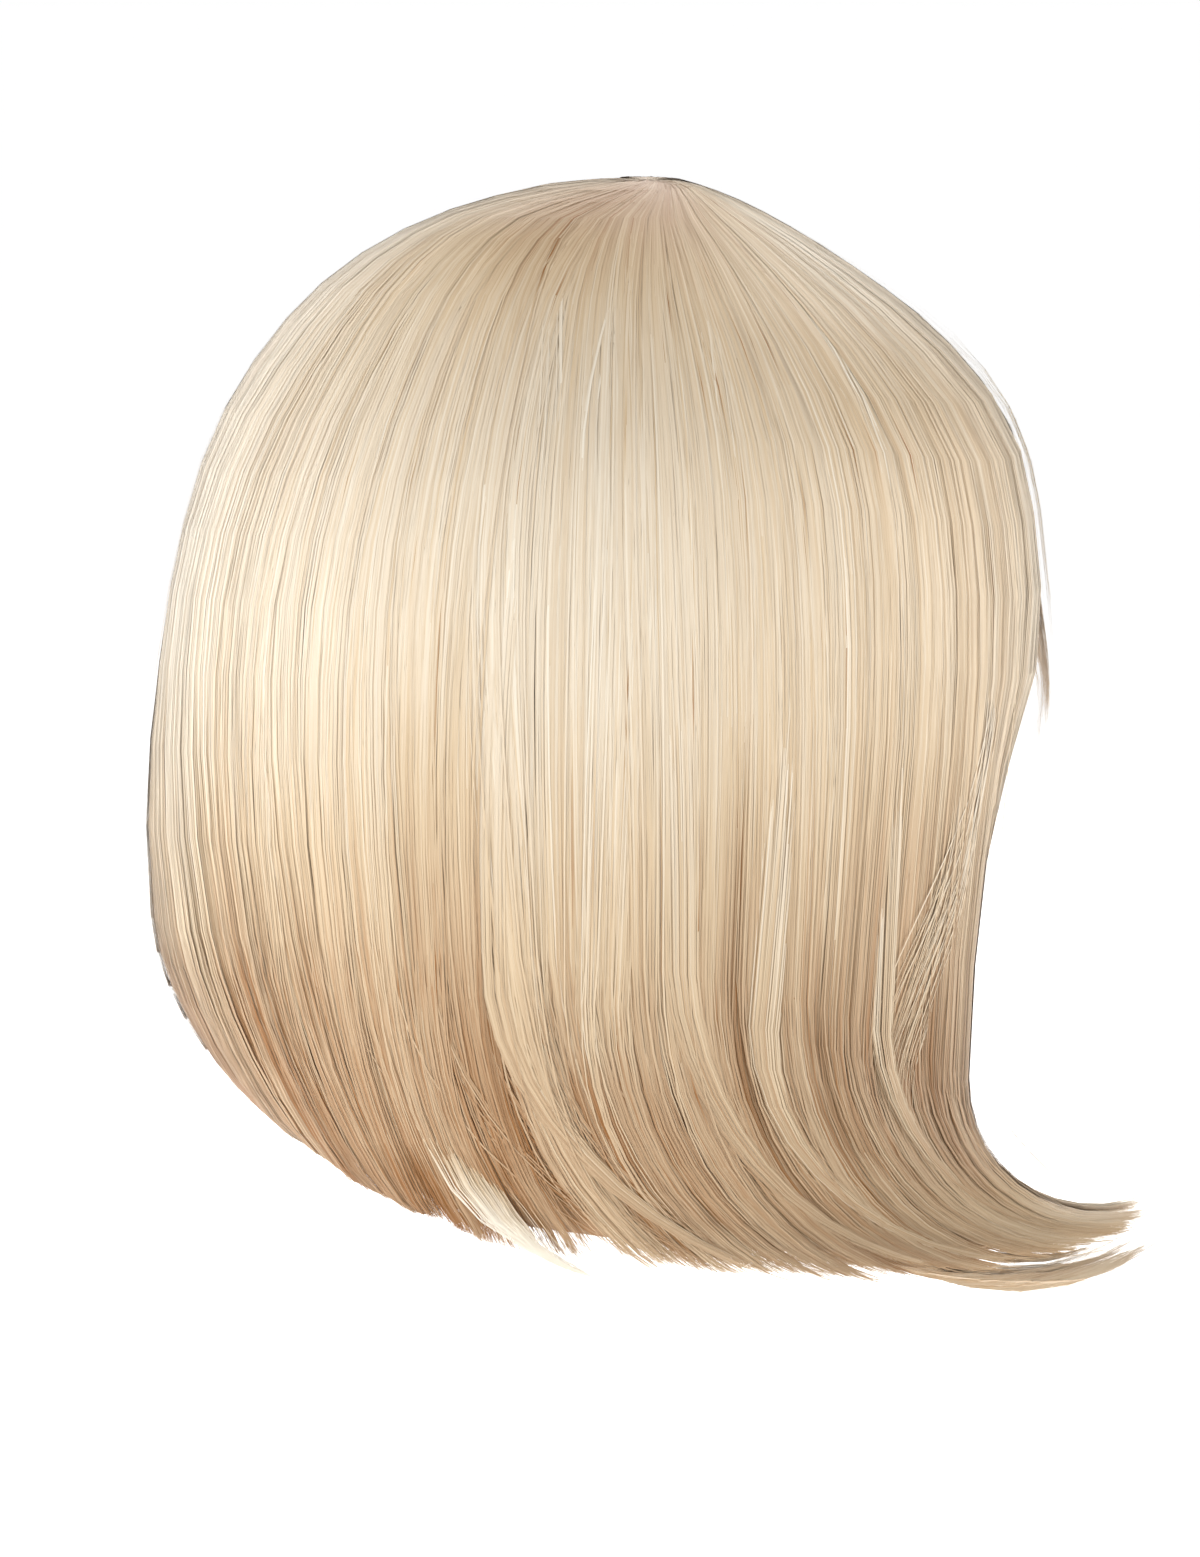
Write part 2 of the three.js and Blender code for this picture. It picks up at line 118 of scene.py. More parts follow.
# The panels: the angles they reach from and to, their strands on the outside and inside, and their locks. A
# panel that ends at the face also has an edge: its angle, the side that it faces and its strands.
PANELS = [
    {"node": "side_left", "layer": CURTAIN, "span": (-48, 38), "outside": 2350, "inside": 380, "locks": 13,
     "edge": {"at": -48.2, "side": -1, "count": 240}},
    {"node": "back_left", "layer": CURTAIN, "span": (38, 76), "outside": 1750, "inside": 140, "locks": 8},
    {"node": "back_centre", "layer": CURTAIN, "span": (76, 118), "outside": 2150, "inside": 140, "locks": 9},
    {"node": "back_right", "layer": CURTAIN, "span": (118, 156), "outside": 1850, "inside": 120, "locks": 8},
    {"node": "side_right", "layer": CURTAIN, "span": (156, 192), "outside": 1650, "inside": 140, "locks": 8},
    {"node": "front_right", "layer": CURTAIN, "span": (192, 214), "outside": 980, "inside": 100, "locks": 5,
     "edge": {"at": 214.1, "side": 1, "count": 280}},
    {"node": "fringe", "layer": FRINGE, "span": (214, 312), "outside": 2250, "inside": 140, "locks": 16},
    {"node": "nape_left", "layer": NAPE, "span": (56, 108), "outside": 420, "inside": 100, "locks": 7},
    {"node": "nape_right", "layer": NAPE, "span": (108, 158), "outside": 450, "inside": 100, "locks": 7},
    {"node": "flip_lower", "layer": NAPE, "span": (158, 208), "outside": 900, "inside": 140, "locks": 7},
]
SLOTS = {
    "fringe": "hair_fringe",
    "nape_left": "hair_under",
    "nape_right": "hair_under",
    "flip_lower": "hair_under",
}

SWIRL = 24
SWIRL_FADE = 0.19

# How light the hair is painted on its way from the crown, 0, through the start of the bend, 1, to the ends:
# painted shade at the crown and below the bend, and a painted sheen between, where the hair is lightest.
PAINTED_LIGHTNESS = {
    "at": [0.0, 0.15, 0.3, 0.45, 0.6, 0.75, 0.9, 1.0, 1.25, 1.5, 1.8, 2.2],
    "hair": [0.1, 0.18, 0.41, 0.6, 0.7, 0.71, 0.57, 0.41, 0.27, 0.22, 0.27, 0.36],
}

# How the ends hang by the angle round the head: lower by some millimetres, and shorter or longer as a share.
HEM = {
    "at": [-60, 20, 34, 41, 46, 54, 70, 90, 120, 230],
    "drop": [0, 2, 3, 3, 3, 4, 4, 1, 0, 0],
    "length": [1.0, 1.0, 1.02, 0.98, 0.88, 0.97, 1.0, 1.0, 1.0, 1.0],
}

# How far the strands lean back against the bend, in degrees round the head, at one right angle of bend.
LEAN = {
    "at": [-60, 0, 40, 82, 96, 110, 125, 140, 165, 185, 230],
    "lean": [0, 22, 46, 62, 52, 30, 15, 13, 12, 4, 0],
    "stay": [0, 0, 0, 0, 0.04, 0.1, 0, 0, 0, 0, 0],
}

# The painted light and shade of the hair by the angle round the head, as tone added above the bend, at the
# crown and below.
SIDE_LIGHT_AND_SHADE = {
    "at": [-60, 40, 70, 96, 125, 145, 165, 180, 192, 203, 230],
    "lighter": [0, 0.02, 0, -0.02, -0.03, -0.09, -0.15, -0.17, -0.15, -0.05, 0],
    "crown": [0.3, 0.4, 0.22, 0.0, -0.06, 0.0, 0.2, 0.36, 0.46, 0.42, 0.3],
    "low": [0, -0.1, -0.14, 0.0, 0.02, 0.04, 0.06, 0.02, 0, 0, 0],
}

# Grooves between locks, by the angle round the head: their half width in degrees, the travels from and to,
# how deep they are in millimetres, and how much painted shade darkens them.
GROOVES = [
    {"at": 70, "width": 1.6, "from": 0.8, "to": 1.2, "depth": 0.6, "painted_shade": 0.1},
    {"at": 84, "width": 1.4, "from": 0.85, "to": 1.1, "depth": 0.5, "painted_shade": 0.1},
    {"at": 93, "width": 8.0, "from": 1.4, "to": 2.4, "depth": 0.6, "painted_shade": 0.15},
    {"at": 99, "width": 1.8, "from": 0.75, "to": 1.02, "depth": 0.4, "painted_shade": 0.12},
    {"at": 106, "width": 2.4, "from": 0.6, "to": 1.4, "depth": 0.5, "painted_shade": 0.1},
    {"at": 117, "width": 3.0, "from": 1.15, "to": 1.7, "depth": 0.8, "painted_shade": 0.18},
    {"at": 124, "width": 3.5, "from": 1.15, "to": 1.6, "depth": 0.8, "painted_shade": 0.08},
    {"at": 138, "width": 2.0, "from": 0.8, "to": 1.3, "depth": 0.8, "painted_shade": 0.1},
    {"at": 152, "width": 2.0, "from": 0.9, "to": 1.4, "depth": 0.8, "painted_shade": 0.12},
    {"at": 168, "width": 5.5, "from": 0.75, "to": 1.25, "depth": 0.8, "painted_shade": 0.09},
]

rng = np.random.default_rng(7)


def smooth(x):
    x = np.clip(x, 0, 1)
    return x * x * (3 - 2 * x)


def lerp(a, b, x):
    return a + (b - a) * x


def read(table, at, column):
    """A table's column at a place between its rows, on a smooth curve through them."""
    where = np.asarray(table["at"], float)
    value = np.asarray(table[column], float)
    before = np.maximum(np.arange(len(where)) - 1, 0)
    after = np.minimum(np.arange(len(where)) + 1, len(where) - 1)
    slope = (value[after] - value[before]) / (where[after] - where[before])
    i = np.searchsorted(where[1:-1], at, side="left")
    span = where[i + 1] - where[i]
    x = np.clip((at - where[i]) / span, 0, 1)
    rise = x * x * (3 - 2 * x)
    bow = span * x * (1 - x) * ((1 - x) * slope[i] - x * slope[i + 1])
    return lerp(value[i], value[i + 1], rise) + bow


def direction_to(angle):
    a = np.radians(angle)
    return np.stack([np.cos(a), np.sin(a), np.zeros_like(a)], axis=-1)


def unit(v):
    return v / np.maximum(np.linalg.norm(v, axis=-1, keepdims=True), 1e-9)


HANG_EASE = 2 * DOME_DROP * (1 - WIDEST) / (WIDEST * CURTAIN_DROP)


def depth_at(share):
    x = (share - WIDEST) / (1 - WIDEST)
    below = DOME_DROP + CURTAIN_DROP * (HANG_EASE * x + (1 - HANG_EASE) * x * x)
    return np.where(share < WIDEST, DOME_DROP * (share / WIDEST) ** 2, below)


def share_at(depth):
    above = WIDEST * np.sqrt(np.maximum(depth, 0) / DOME_DROP)
    x = np.maximum(depth - DOME_DROP, 0) / CURTAIN_DROP
    below = WIDEST + (1 - WIDEST) * 2 * x / (HANG_EASE + np.sqrt(HANG_EASE**2 + 4 * (1 - HANG_EASE) * x))
    return np.where(depth < DOME_DROP, above, below)


def oval_reach(angle, left, right, front, back):
    a = np.radians(angle)
    x, y = np.cos(a), np.sin(a)
    return 1 / np.hypot(x / np.where(x > 0, left, right), y / np.where(y > 0, back, front))


def hang(angle, share):
    """Where the outside of the hair hangs before its ends bend."""
    from_face = np.maximum(0, np.cos(np.radians(angle - 270)))
    draw = EDGE_DRAW * from_face * smooth((share - EDGE_DRAW_FROM) / EDGE_DRAW_SPAN)
    turned = angle + np.where((angle > 90) & (angle < 270), -1, 1) * draw
    reach = oval_reach(
        turned,
        HAIR_HALF_WIDTH * read(OUTSIDE, share, "left") + 1e-6,
        HAIR_HALF_WIDTH * read(OUTSIDE, share, "right") + 1e-6,
        HAIR_FRONT * read(OUTSIDE, share, "front") + 1e-6,
        HAIR_BACK * read(OUTSIDE, share, "back") + 1e-6,
    )
    whorl = 1 - smooth(share / WHORL_FADE)
    point = direction_to(turned) * reach[..., None]
    point[..., 0] += WHORL_X * whorl
    point[..., 1] += WHORL_Y * whorl
    point[..., 2] += HAIR_TOP - depth_at(share)
    return point


def cap_edge(angle):
    return HEAD_RISE * read(CAP_EDGE, np.abs((angle + 90) % 360 - 180), "drop")


def cap_point(towards, grown):
    """Where a ray from the middle of the head leaves the cap's surface, grown by some millimetres."""
    down = -HEAD_RISE - towards[..., 2]
    narrowed = 1 - CAP_TUCK * np.maximum(0, down / CAP_TUCK_DEPTH) ** 2
    flat = np.hypot(
        towards[..., 0] / ((HEAD_HALF_WIDTH + grown) * narrowed),
        towards[..., 1] / ((HEAD_HALF_LENGTH + grown) * narrowed),
    )
    up = np.maximum(0, -down) / (HEAD_RISE + grown)
    scale = 1 / np.hypot(flat, up)
    z = np.where(down > 0, towards[..., 2], -HEAD_RISE - down * scale)
    return np.stack([towards[..., 0] * scale, towards[..., 1] * scale, z], axis=-1)


def nape_hang(angle, depth):
    """Where the outside of the under layer hangs, from the cap's edge to the neck."""
    top = cap_edge(angle) + NAPE_SEAT
    hem = DOME_DROP + CURTAIN_DROP - HAIR_TOP
    closed = read(NAPE_CLOSING, (depth - top) / (hem - top), "closed")[..., None]
    towards = direction_to(angle)
    towards[..., 2] = -top
    on_cap = cap_point(towards, CAP_WALL)
    on_neck = direction_to(angle) * oval_reach(angle, NECK_SIDE, NECK_SIDE, NECK_BACK, NECK_BACK)[..., None]
    on_neck[..., 1] += NECK_BACK_SHIFT
    point = lerp(on_cap, on_neck, closed)
    point[..., 2] = -depth
    return point


def surface(layer, angle, travel):
    """Points and outward normals of a layer. The travel is 0 at its roots, 1 where the hair starts to bend,
    and 1 plus the bend in right angles beyond."""
    ends = layer["ends"]
    start = layer["base"] + layer["span"] * read(ends, angle, "start")
    radius = layer["span"] * read(ends, angle, "radius")
    bend = np.maximum(0, travel - 1) * np.pi / 2
    fall = radius * np.sin(bend)
    aside = direction_to(read(ends, angle, "towards"))
    if layer["from_crown"]:
        place, step = hang, 0.004
        way = np.where(travel < 1, share_at(start) * travel, share_at(start + fall))
        way = np.maximum(way, 2 * step)
    else:
        place, step = nape_hang, 1.0
        top = cap_edge(angle) + NAPE_SEAT
        way = np.where(travel < 1, lerp(top, start - HAIR_TOP, travel), start - HAIR_TOP + fall)
    point = place(angle, way) + aside * (radius * (1 - np.cos(bend)))[..., None]
    along = place(angle, way + step) - place(angle, way - step)
    around = place(angle + 0.3, way) - place(angle - 0.3, way)
    normal = unit(np.cross(along, around))
    # The bend turns straight down into sideways, and the normal turns with it.
    sine, cosine = np.sin(bend)[..., None], np.cos(bend)[..., None]
    down = np.array([0.0, 0.0, -1.0])
    part_down = (normal @ down)[..., None]
    part_aside = np.sum(normal * aside, axis=-1, keepdims=True)
    normal = normal + part_down * (down * (cosine - 1) + aside * sine)
    normal = normal + part_aside * (aside * (cosine - 1) - down * sine)
    return point, unit(normal)


def add_mesh(name, verts, quads, uv, tone, normals=None):
    """A smooth mesh object from arrays: vertices in millimetres, quads, and for each vertex a UV pair, a
    tone and, if given, the normal it is shaded with."""
    mesh = bpy.data.meshes.new(name)
    mesh.vertices.add(len(verts))
    mesh.vertices.foreach_set("co", (verts * MM).astype(np.float32).ravel())
    mesh.loops.add(quads.size)
    mesh.loops.foreach_set("vertex_index", quads.astype(np.int32).ravel())
    mesh.polygons.add(len(quads))
    mesh.polygons.foreach_set("loop_start", np.arange(0, quads.size, 4, dtype=np.int32))
    mesh.polygons.foreach_set("use_smooth", np.ones(len(quads), bool))
    mesh.update(calc_edges=True)
    layer = mesh.uv_layers.new(name="OFBake")
    layer.data.foreach_set("uv", uv[quads.ravel()].astype(np.float32).ravel())
    shade = mesh.attributes.new("tone", "FLOAT", "POINT")
    shade.data.foreach_set("value", tone.astype(np.float32))
    if normals is not None:
        mesh.normals_split_custom_set_from_vertices(normals.astype(np.float32))
    made = bpy.data.objects.new(name, mesh)
    bpy.context.scene.collection.objects.link(made)
    return made


UV_ROWS = 10
TILT = 0.03  # How far a strand's shading leans to one side, as a slope.


def strand_mesh(name, point, normal, half_width, tone, used):
    """Joins strands into one mesh. Each strand is a flat ribbon along its used points, and it is shaded like
    the surface that it lies in, tilted a little to one side."""
    count, steps = point.shape[:2]
    tangent = unit(np.gradient(point, axis=1))
    side = unit(np.cross(tangent, normal))
    width = half_width[..., None]
    verts = np.stack([point - side * width, point + side * width], axis=2)
    kept = np.repeat(used.ravel(), 2)
    index = (np.cumsum(kept) - 1).reshape(count, steps, 2)
    a, b = index[:, :-1], index[:, 1:]
    quads = np.stack([a[..., 0], a[..., 1], b[..., 1], b[..., 0]], axis=-1)[used[:, :-1] & used[:, 1:]]
    columns = math.ceil(count / UV_ROWS)
    column, row = np.arange(count) % columns, np.arange(count) // columns
    u = (column[:, None] + np.array([0.06, 0.94])) / columns
    v = (row[:, None] + np.linspace(0.02, 0.98, steps)) / UV_ROWS
    uv = np.stack(np.broadcast_arrays(u[:, None, :], v[:, :, None]), axis=-1).reshape(-1, 2)
    facing = unit(normal + side * rng.normal(0, TILT, count)[:, None, None])
    normals = np.repeat(facing.reshape(-1, 3), 2, axis=0)[kept]
    tones = np.repeat(tone.ravel(), 2)[kept]
    return add_mesh(name, verts.reshape(-1, 3)[kept], quads, uv[kept], tones, normals)


def uneven_cells(start, end, count):
    """Borders of cells of uneven width."""
    width = rng.uniform(0.55, 1.45, count)
    return start + (end - start) * np.concatenate([[0], np.cumsum(width)]) / width.sum()


def cell_of(borders, value):
    i = np.clip(np.searchsorted(borders, value) - 1, 0, len(borders) - 2)
    middle = (borders[i] + borders[i + 1]) / 2
    half = (borders[i + 1] - borders[i]) / 2
    return i, middle, (value - middle) / half


# A strand's stations on the way down and in the bend. The last one lies past the cut, by a share of it.
HANG_STEPS = 18
HANG_CROWDING = 1.2
CURL_STEPS = 12
CURL_REACH = 1.25
SHORTEST_STEP = 0.02

# Strands are longer than the model's hair by some millimetres. The rest here are travels: where the strands
# on the inside begin, and how far a groove's end and a dark spot reach.
CLUMPS_PER_LOCK = 5
LONGER = 4
INSIDE_FROM = 0.72
GROOVE_FADE = 0.15
SPOT_LENGTH = 0.04

# Shares of the strands: those that begin late, at one of the first stations, those that are free of their
# clump and how much they still follow it, the longer ones, those with a dark spot, and those that fly off.
LATE_SHARE = 0.35
LATE_STATIONS = 10
FREE_SHARE = 0.36
FREE_FOLLOW = 0.3
OVERLONG_SHARE = 0.04
SPOT_SHARE = 0.16
FLYAWAY_SHARE = 0.015


def stations(layer, root, first, last):
    """Each strand's travels. Neighbours share their stations, so that they bend at the same places and lie
    smoothly on each other. Only a strand's first and last stations are its own."""
    cut = read(layer["ends"], root, "cut") / 90
    hang_part = np.linspace(0, 1, HANG_STEPS, endpoint=False) ** HANG_CROWDING
    curl_part = np.linspace(0, CURL_REACH, CURL_STEPS + 1)
    travel = np.concatenate(
        [np.broadcast_to(hang_part, (len(root), HANG_STEPS)), 1 + cut[:, None] * curl_part[None, :]], axis=1
    )
    place = np.arange(travel.shape[1])[None, :]
    from_place = np.sum(travel <= first[:, None], axis=1, keepdims=True) - 1
    to_place = np.sum(travel < last[:, None] - SHORTEST_STEP, axis=1, keepdims=True)
    travel = np.where(place <= from_place, first[:, None], travel)
    travel = np.where(place >= to_place, last[:, None], travel)
    return travel, (place >= from_place) & (place <= to_place)


def swirl(layer, root, travel):
    """How far the strands turn round the crown before they fall straight, the same for every layer."""
    start = layer["base"] + layer["span"] * read(layer["ends"], root, "start")
    return SWIRL * (1 - smooth(share_at(start) * travel / SWIRL_FADE))


def longer_cut(layer, root):
    """The bend at the ends, in right angles, for strands a few millimetres longer than the model's."""
    radius = layer["span"] * read(layer["ends"], root, "radius")
    return read(layer["ends"], root, "cut") / 90 + LONGER / radius * 2 / np.pi


def scatter(panel, count):
    """Where a panel's strands grow. Of the lock and the clump that each belongs to, it gives the number, the
    angle of the middle, and how far across it the strand lies, from -1 to 1."""
    (start, end), locks = panel["span"], panel["locks"]
    root = rng.uniform(start, end, count)
    lock_borders = uneven_cells(start, end, locks)
    clump_borders = uneven_cells(start, end, locks * CLUMPS_PER_LOCK)
    lock, lock_middle, across_lock = cell_of(lock_borders, root)
    clump, clump_middle, across_clump = cell_of(clump_borders, root)
    by_lock = {"locks": locks, "lock": lock, "lock_middle": lock_middle, "across_lock": across_lock}
    by_clump = {"clumps": locks * CLUMPS_PER_LOCK, "clump": clump, "clump_middle": clump_middle}
    return SimpleNamespace(count=count, root=root, across_clump=across_clump, **by_lock, **by_clump)


def strand_reach(layer, group, inside):
    """The travels at which strands begin and end, and which of them begin late, away from the crown."""
    count, root = group.count, group.root
    first = np.zeros(count)
    if layer["from_crown"]:
        first = whorl_travel(layer, root) * rng.uniform(0.1, 1.0, count)
        if inside:
            first = np.full(count, INSIDE_FROM)
    late = (rng.random(count) < LATE_SHARE) & layer["from_crown"] & (not inside)
    first = np.where(late, (rng.integers(1, LATE_STATIONS + 1, count) / HANG_STEPS) ** HANG_CROWDING, first)
    by_lock = rng.uniform(0.96, 1.02, group.locks)[group.lock]
    length = by_lock * rng.uniform(0.94, 1.03, group.clumps)[group.clump]
    if layer is CURTAIN:
        length = length * read(HEM, root, "length")
    short = np.minimum(rng.exponential(0.05, count), 0.35) - 0.1 * (rng.random(count) < OVERLONG_SHARE)
    last = 1 + longer_cut(layer, root) * length * (1 - short) * (1 - 0.04 * group.across_lock**2)
    return first, last, late


def wobble(count, size, waves, travel):
    """Each strand's own small wave, in degrees."""
    return rng.normal(0, size, count)[:, None] * np.sin(travel * waves + rng.uniform(0, 6, count)[:, None])


def strand_bows(group, travel, free):
    """How far strands, clumps and locks bow aside, in degrees. Free strands bow alone."""
    bow = wobble(group.count, 0.9, 1.9, travel)
    bow = bow + wobble(group.count, 0.25, 5, travel)
    clump_bow = rng.normal(0, 0.7, group.clumps)[group.clump][:, None]
    clump_bow = clump_bow * np.sin(travel * 2.2 + group.clump[:, None])
    lock_bow = rng.normal(0, 1.2, group.locks)[group.lock][:, None] * np.sin(np.pi * smooth(travel / 1.2))
    lock_bow = lock_bow + rng.normal(0, 0.9, group.locks)[group.lock][:, None] * smooth((travel - 0.7) / 0.8)
    return bow + np.where(free, 0, clump_bow + lock_bow)


def strand_angles(layer, group, travel, done):
    """The angles of strands on their way down, and which of them are free and which lean."""
    root = group.root
    free = (rng.random(group.count) < FREE_SHARE)[:, None]
    gather_lock = 0.16 * smooth((travel - 0.85) / 0.9)
    gather_clump = 0.35 * smooth((travel - 0.6) / 0.9) + 0.4 * smooth((done - 0.8) / 0.2)
    follow = np.where(free, FREE_FOLLOW, 1)
    angle = root[:, None] + (group.clump_middle - root)[:, None] * follow * gather_clump
    angle = angle + (group.lock_middle - group.clump_middle)[:, None] * follow * gather_lock
    bows = strand_bows(group, travel, free)
    loose = smooth((travel - 0.05) / 0.35) * smooth((travel[:, -1:] + 0.6 - travel) / 0.6)
    angle = angle + bows * loose
    if layer["from_crown"]:
        angle = angle + swirl(layer, root[:, None], travel)
    leans = rng.random(group.count) > read(LEAN, root, "stay")
    if layer is CURTAIN:
        by_lock = rng.uniform(0.85, 1.1, group.locks)[group.lock]
        lean = np.where(leans, 1, 0.1) * by_lock * read(LEAN, root, "lean")
        angle = angle - lean[:, None] * np.maximum(0, travel - 1) ** 2
    return angle, free, leans


def strand_lifts(layer, group, travel, done, free, leans, late):
    """How far strands lie off the surface, in millimetres, with valleys between locks and clumps."""
    valley = lerp(0.1, 1.6, smooth((travel - 0.75) / 0.7))
    lift = 0.5 - valley * group.across_lock[:, None] ** 2
    lift = lift - lerp(0.1, 0.6, smooth((travel - 0.75) / 0.6)) * group.across_clump[:, None] ** 2
    deeper = np.minimum(rng.exponential(0.3, group.count), 1.5)[:, None]
    lift = lift - deeper * lerp(0.25, 1, smooth((travel - 0.7) / 0.5))
    lift = lift - np.where(leans, 0, 0.5)[:, None] * smooth((travel - 1) / 0.4)
    by_lock = rng.normal(0, 0.25, group.locks)[group.lock][:, None]
    lift = lift + by_lock * lerp(0.15, 1, smooth((travel - 0.6) / 0.5))
    lift = lift - np.where(free, 0.15, 0)
    if layer["from_crown"]:
        lift = lift + lerp(-0.5, 0.7, smooth(travel / 0.12)) * (1 - smooth((travel - 0.2) / 0.35))
    fly = (rng.random(group.count) < FLYAWAY_SHARE) * rng.exponential(1.2, group.count)
    lift = lift + fly[:, None] * np.sin(np.pi * np.clip(done, 0, 1) ** 2)
    return np.where(late[:, None], lift - 1.6 * (1 - smooth(done / 0.15)), lift)


def strand_tones(layer, group, travel):
    """How far strands' tones lie above and below their layer's, with short dark spots, and with the painted
    light and shade of each side of the head.
    """
    root, count = group.root, group.count
    by_lock = rng.normal(0, 0.05, group.locks)[group.lock] + rng.normal(0, 0.04, group.clumps)[group.clump]
    by_strand = rng.normal(0, 0.065, count)[:, None]
    tone = by_lock[:, None] * lerp(0.5, 1.4, smooth((travel - 0.6) / 0.5)) + by_strand
    spot = rng.uniform(0.06, 1.2, count)[:, None] ** 1.5
    spotted = rng.random(count)[:, None] < SPOT_SHARE
    tone = tone - spotted * 0.5 * np.exp(-(((travel - spot) / SPOT_LENGTH) ** 2))
    # Painted light and shade by the side of the head, at the crown, above the bend and below it.
    if layer["from_crown"]:
        side = np.clip(root, SIDE_LIGHT_AND_SHADE["at"][0], SIDE_LIGHT_AND_SHADE["at"][-1])
        tone = tone + read(SIDE_LIGHT_AND_SHADE, side, "crown")[:, None] * (1 - smooth((travel - 0.15) / 0.4))
    if layer is CURTAIN:
        above = smooth((travel - 0.3) / 0.3) * smooth((1.3 - travel) / 0.3)
        tone = tone + read(SIDE_LIGHT_AND_SHADE, root, "lighter")[:, None] * above
        tone = tone + read(SIDE_LIGHT_AND_SHADE, root, "low")[:, None] * smooth((travel - 0.85) / 0.3)
    return tone


def in_groove(groove, root, travel):
    """How much of a groove's depth strands have, from 0 to 1."""
    within = np.exp(-(((root - groove["at"]) / groove["width"]) ** 2))[:, None]
    within = within * smooth((travel - groove["from"]) / GROOVE_FADE)
    return within * (1 - smooth((travel - groove["to"]) / GROOVE_FADE))


def strand_paths(panel, count, inside):
    """Angles, travels, lifts and tones of a panel's strands, gathered in locks and clumps."""
    layer = panel["layer"]
    group = scatter(panel, count)
    first, last, late = strand_reach(layer, group, inside)
    travel, used = stations(layer, group.root, first, last)
    done = (travel - first[:, None]) / (last - first)[:, None]
    angle, free, leans = strand_angles(layer, group, travel, done)
    lift = strand_lifts(layer, group, travel, done, free, leans, late)
    tone = strand_tones(layer, group, travel)
    if layer is CURTAIN:
        # Grooves sink the strands and darken them with painted shade.
        for groove in GROOVES:
            within = in_groove(groove, group.root, travel)
            lift = lift - groove["depth"] * within
            tone = tone - groove["painted_shade"] * within
    return angle, travel, lift, tone, done, used


def tone_along(layer, travel, lift):
    """The tone along strands: their painted lightness, painted shade that deepens the deeper they lie, and
    the painted light of their layer.
    """
    way = travel if layer["from_crown"] else lerp(0.85, 1, travel)
    light = read(PAINTED_LIGHTNESS, np.clip(np.where(travel < 1, way, travel), 0, 2.2), "hair")
    painted_lighter = layer["painted_lighter"] * smooth((way - 0.5) / 0.4)
    return light - 0.06 * np.maximum(0, -lift) + 0.03 + painted_lighter


def tapered(thin, thick, done, start, loss):
    """Half widths of strands, which lose a share of their width from the start of their tips on."""
    width = rng.uniform(thin, thick, len(done))[:, None]
    return width * (1 - loss * smooth((done - start) / (1 - start)))


def grow(panel, inside=False):
    """The strands on one side of a panel."""
    layer = panel["layer"]
    count = panel["inside"] if inside else panel["outside"]
    angle, travel, lift, tone, done, used = strand_paths(panel, count, inside)
    point, normal = surface(layer, angle, travel)
    if inside:
        tip, _ = surface(layer, angle, np.broadcast_to(travel[:, -1:], travel.shape))
        to_tip = np.linalg.norm(point - tip, axis=-1)
        point = inner_side(layer, angle, travel, point, normal, to_tip) - normal * (0.2 * lift)[..., None]
    else:
        point = point + normal * lift[..., None]
    if layer is CURTAIN:
        point[..., 2] -= read(HEM, angle, "drop") * smooth((travel - 1.1) / 0.5)
    half_width = tapered(0.11, 0.25, done, start=0.72, loss=0.8)
    tones = np.clip(tone + tone_along(layer, travel, lift) + flip_painted_light(angle, travel), 0, 1)
    return point, normal, half_width, tones, used


def flip_painted_light(angle, travel):
    """The flipped ends on the right are painted lighter than the other ends, as painted light that lifts the
    shade on them.
    """
    return 0.24 * smooth((angle - 135) / 45) * smooth((travel - 1.25) / 0.6)


def grow_edge(panel):
    """The strands on a panel's free edge at the face, from its outside to its inside."""
    layer, count = panel["layer"], panel["edge"]["count"]
    root = panel["edge"]["at"] + rng.normal(0, 0.25, count)
    first = np.full(count, 0.5)
    last = 1 + longer_cut(layer, root) * rng.uniform(0.82, 1.02, count)
    travel, used = stations(layer, root, first, last)
    done = (travel - first[:, None]) / (last - first)[:, None]
    angle = np.broadcast_to(root[:, None], travel.shape)
    point, normal = surface(layer, angle, travel)
    tip, _ = surface(layer, angle, np.broadcast_to(travel[:, -1:], travel.shape))
    inner = inner_side(layer, angle, travel, point, normal, np.linalg.norm(point - tip, axis=-1))
    beside, _ = surface(layer, angle + panel["edge"]["side"], travel)
    point = lerp(point, inner, rng.uniform(0, 1, count)[:, None, None])
    half_width = tapered(0.12, 0.26, done, start=0.72, loss=0.8)
    tone = rng.normal(0.3, 0.07, count)[:, None] + flip_painted_light(angle, travel)
    tones = np.clip(tone + tone_along(layer, travel, np.zeros_like(travel)), 0, 1)
    return point, unit(beside - point), half_width, tones, used


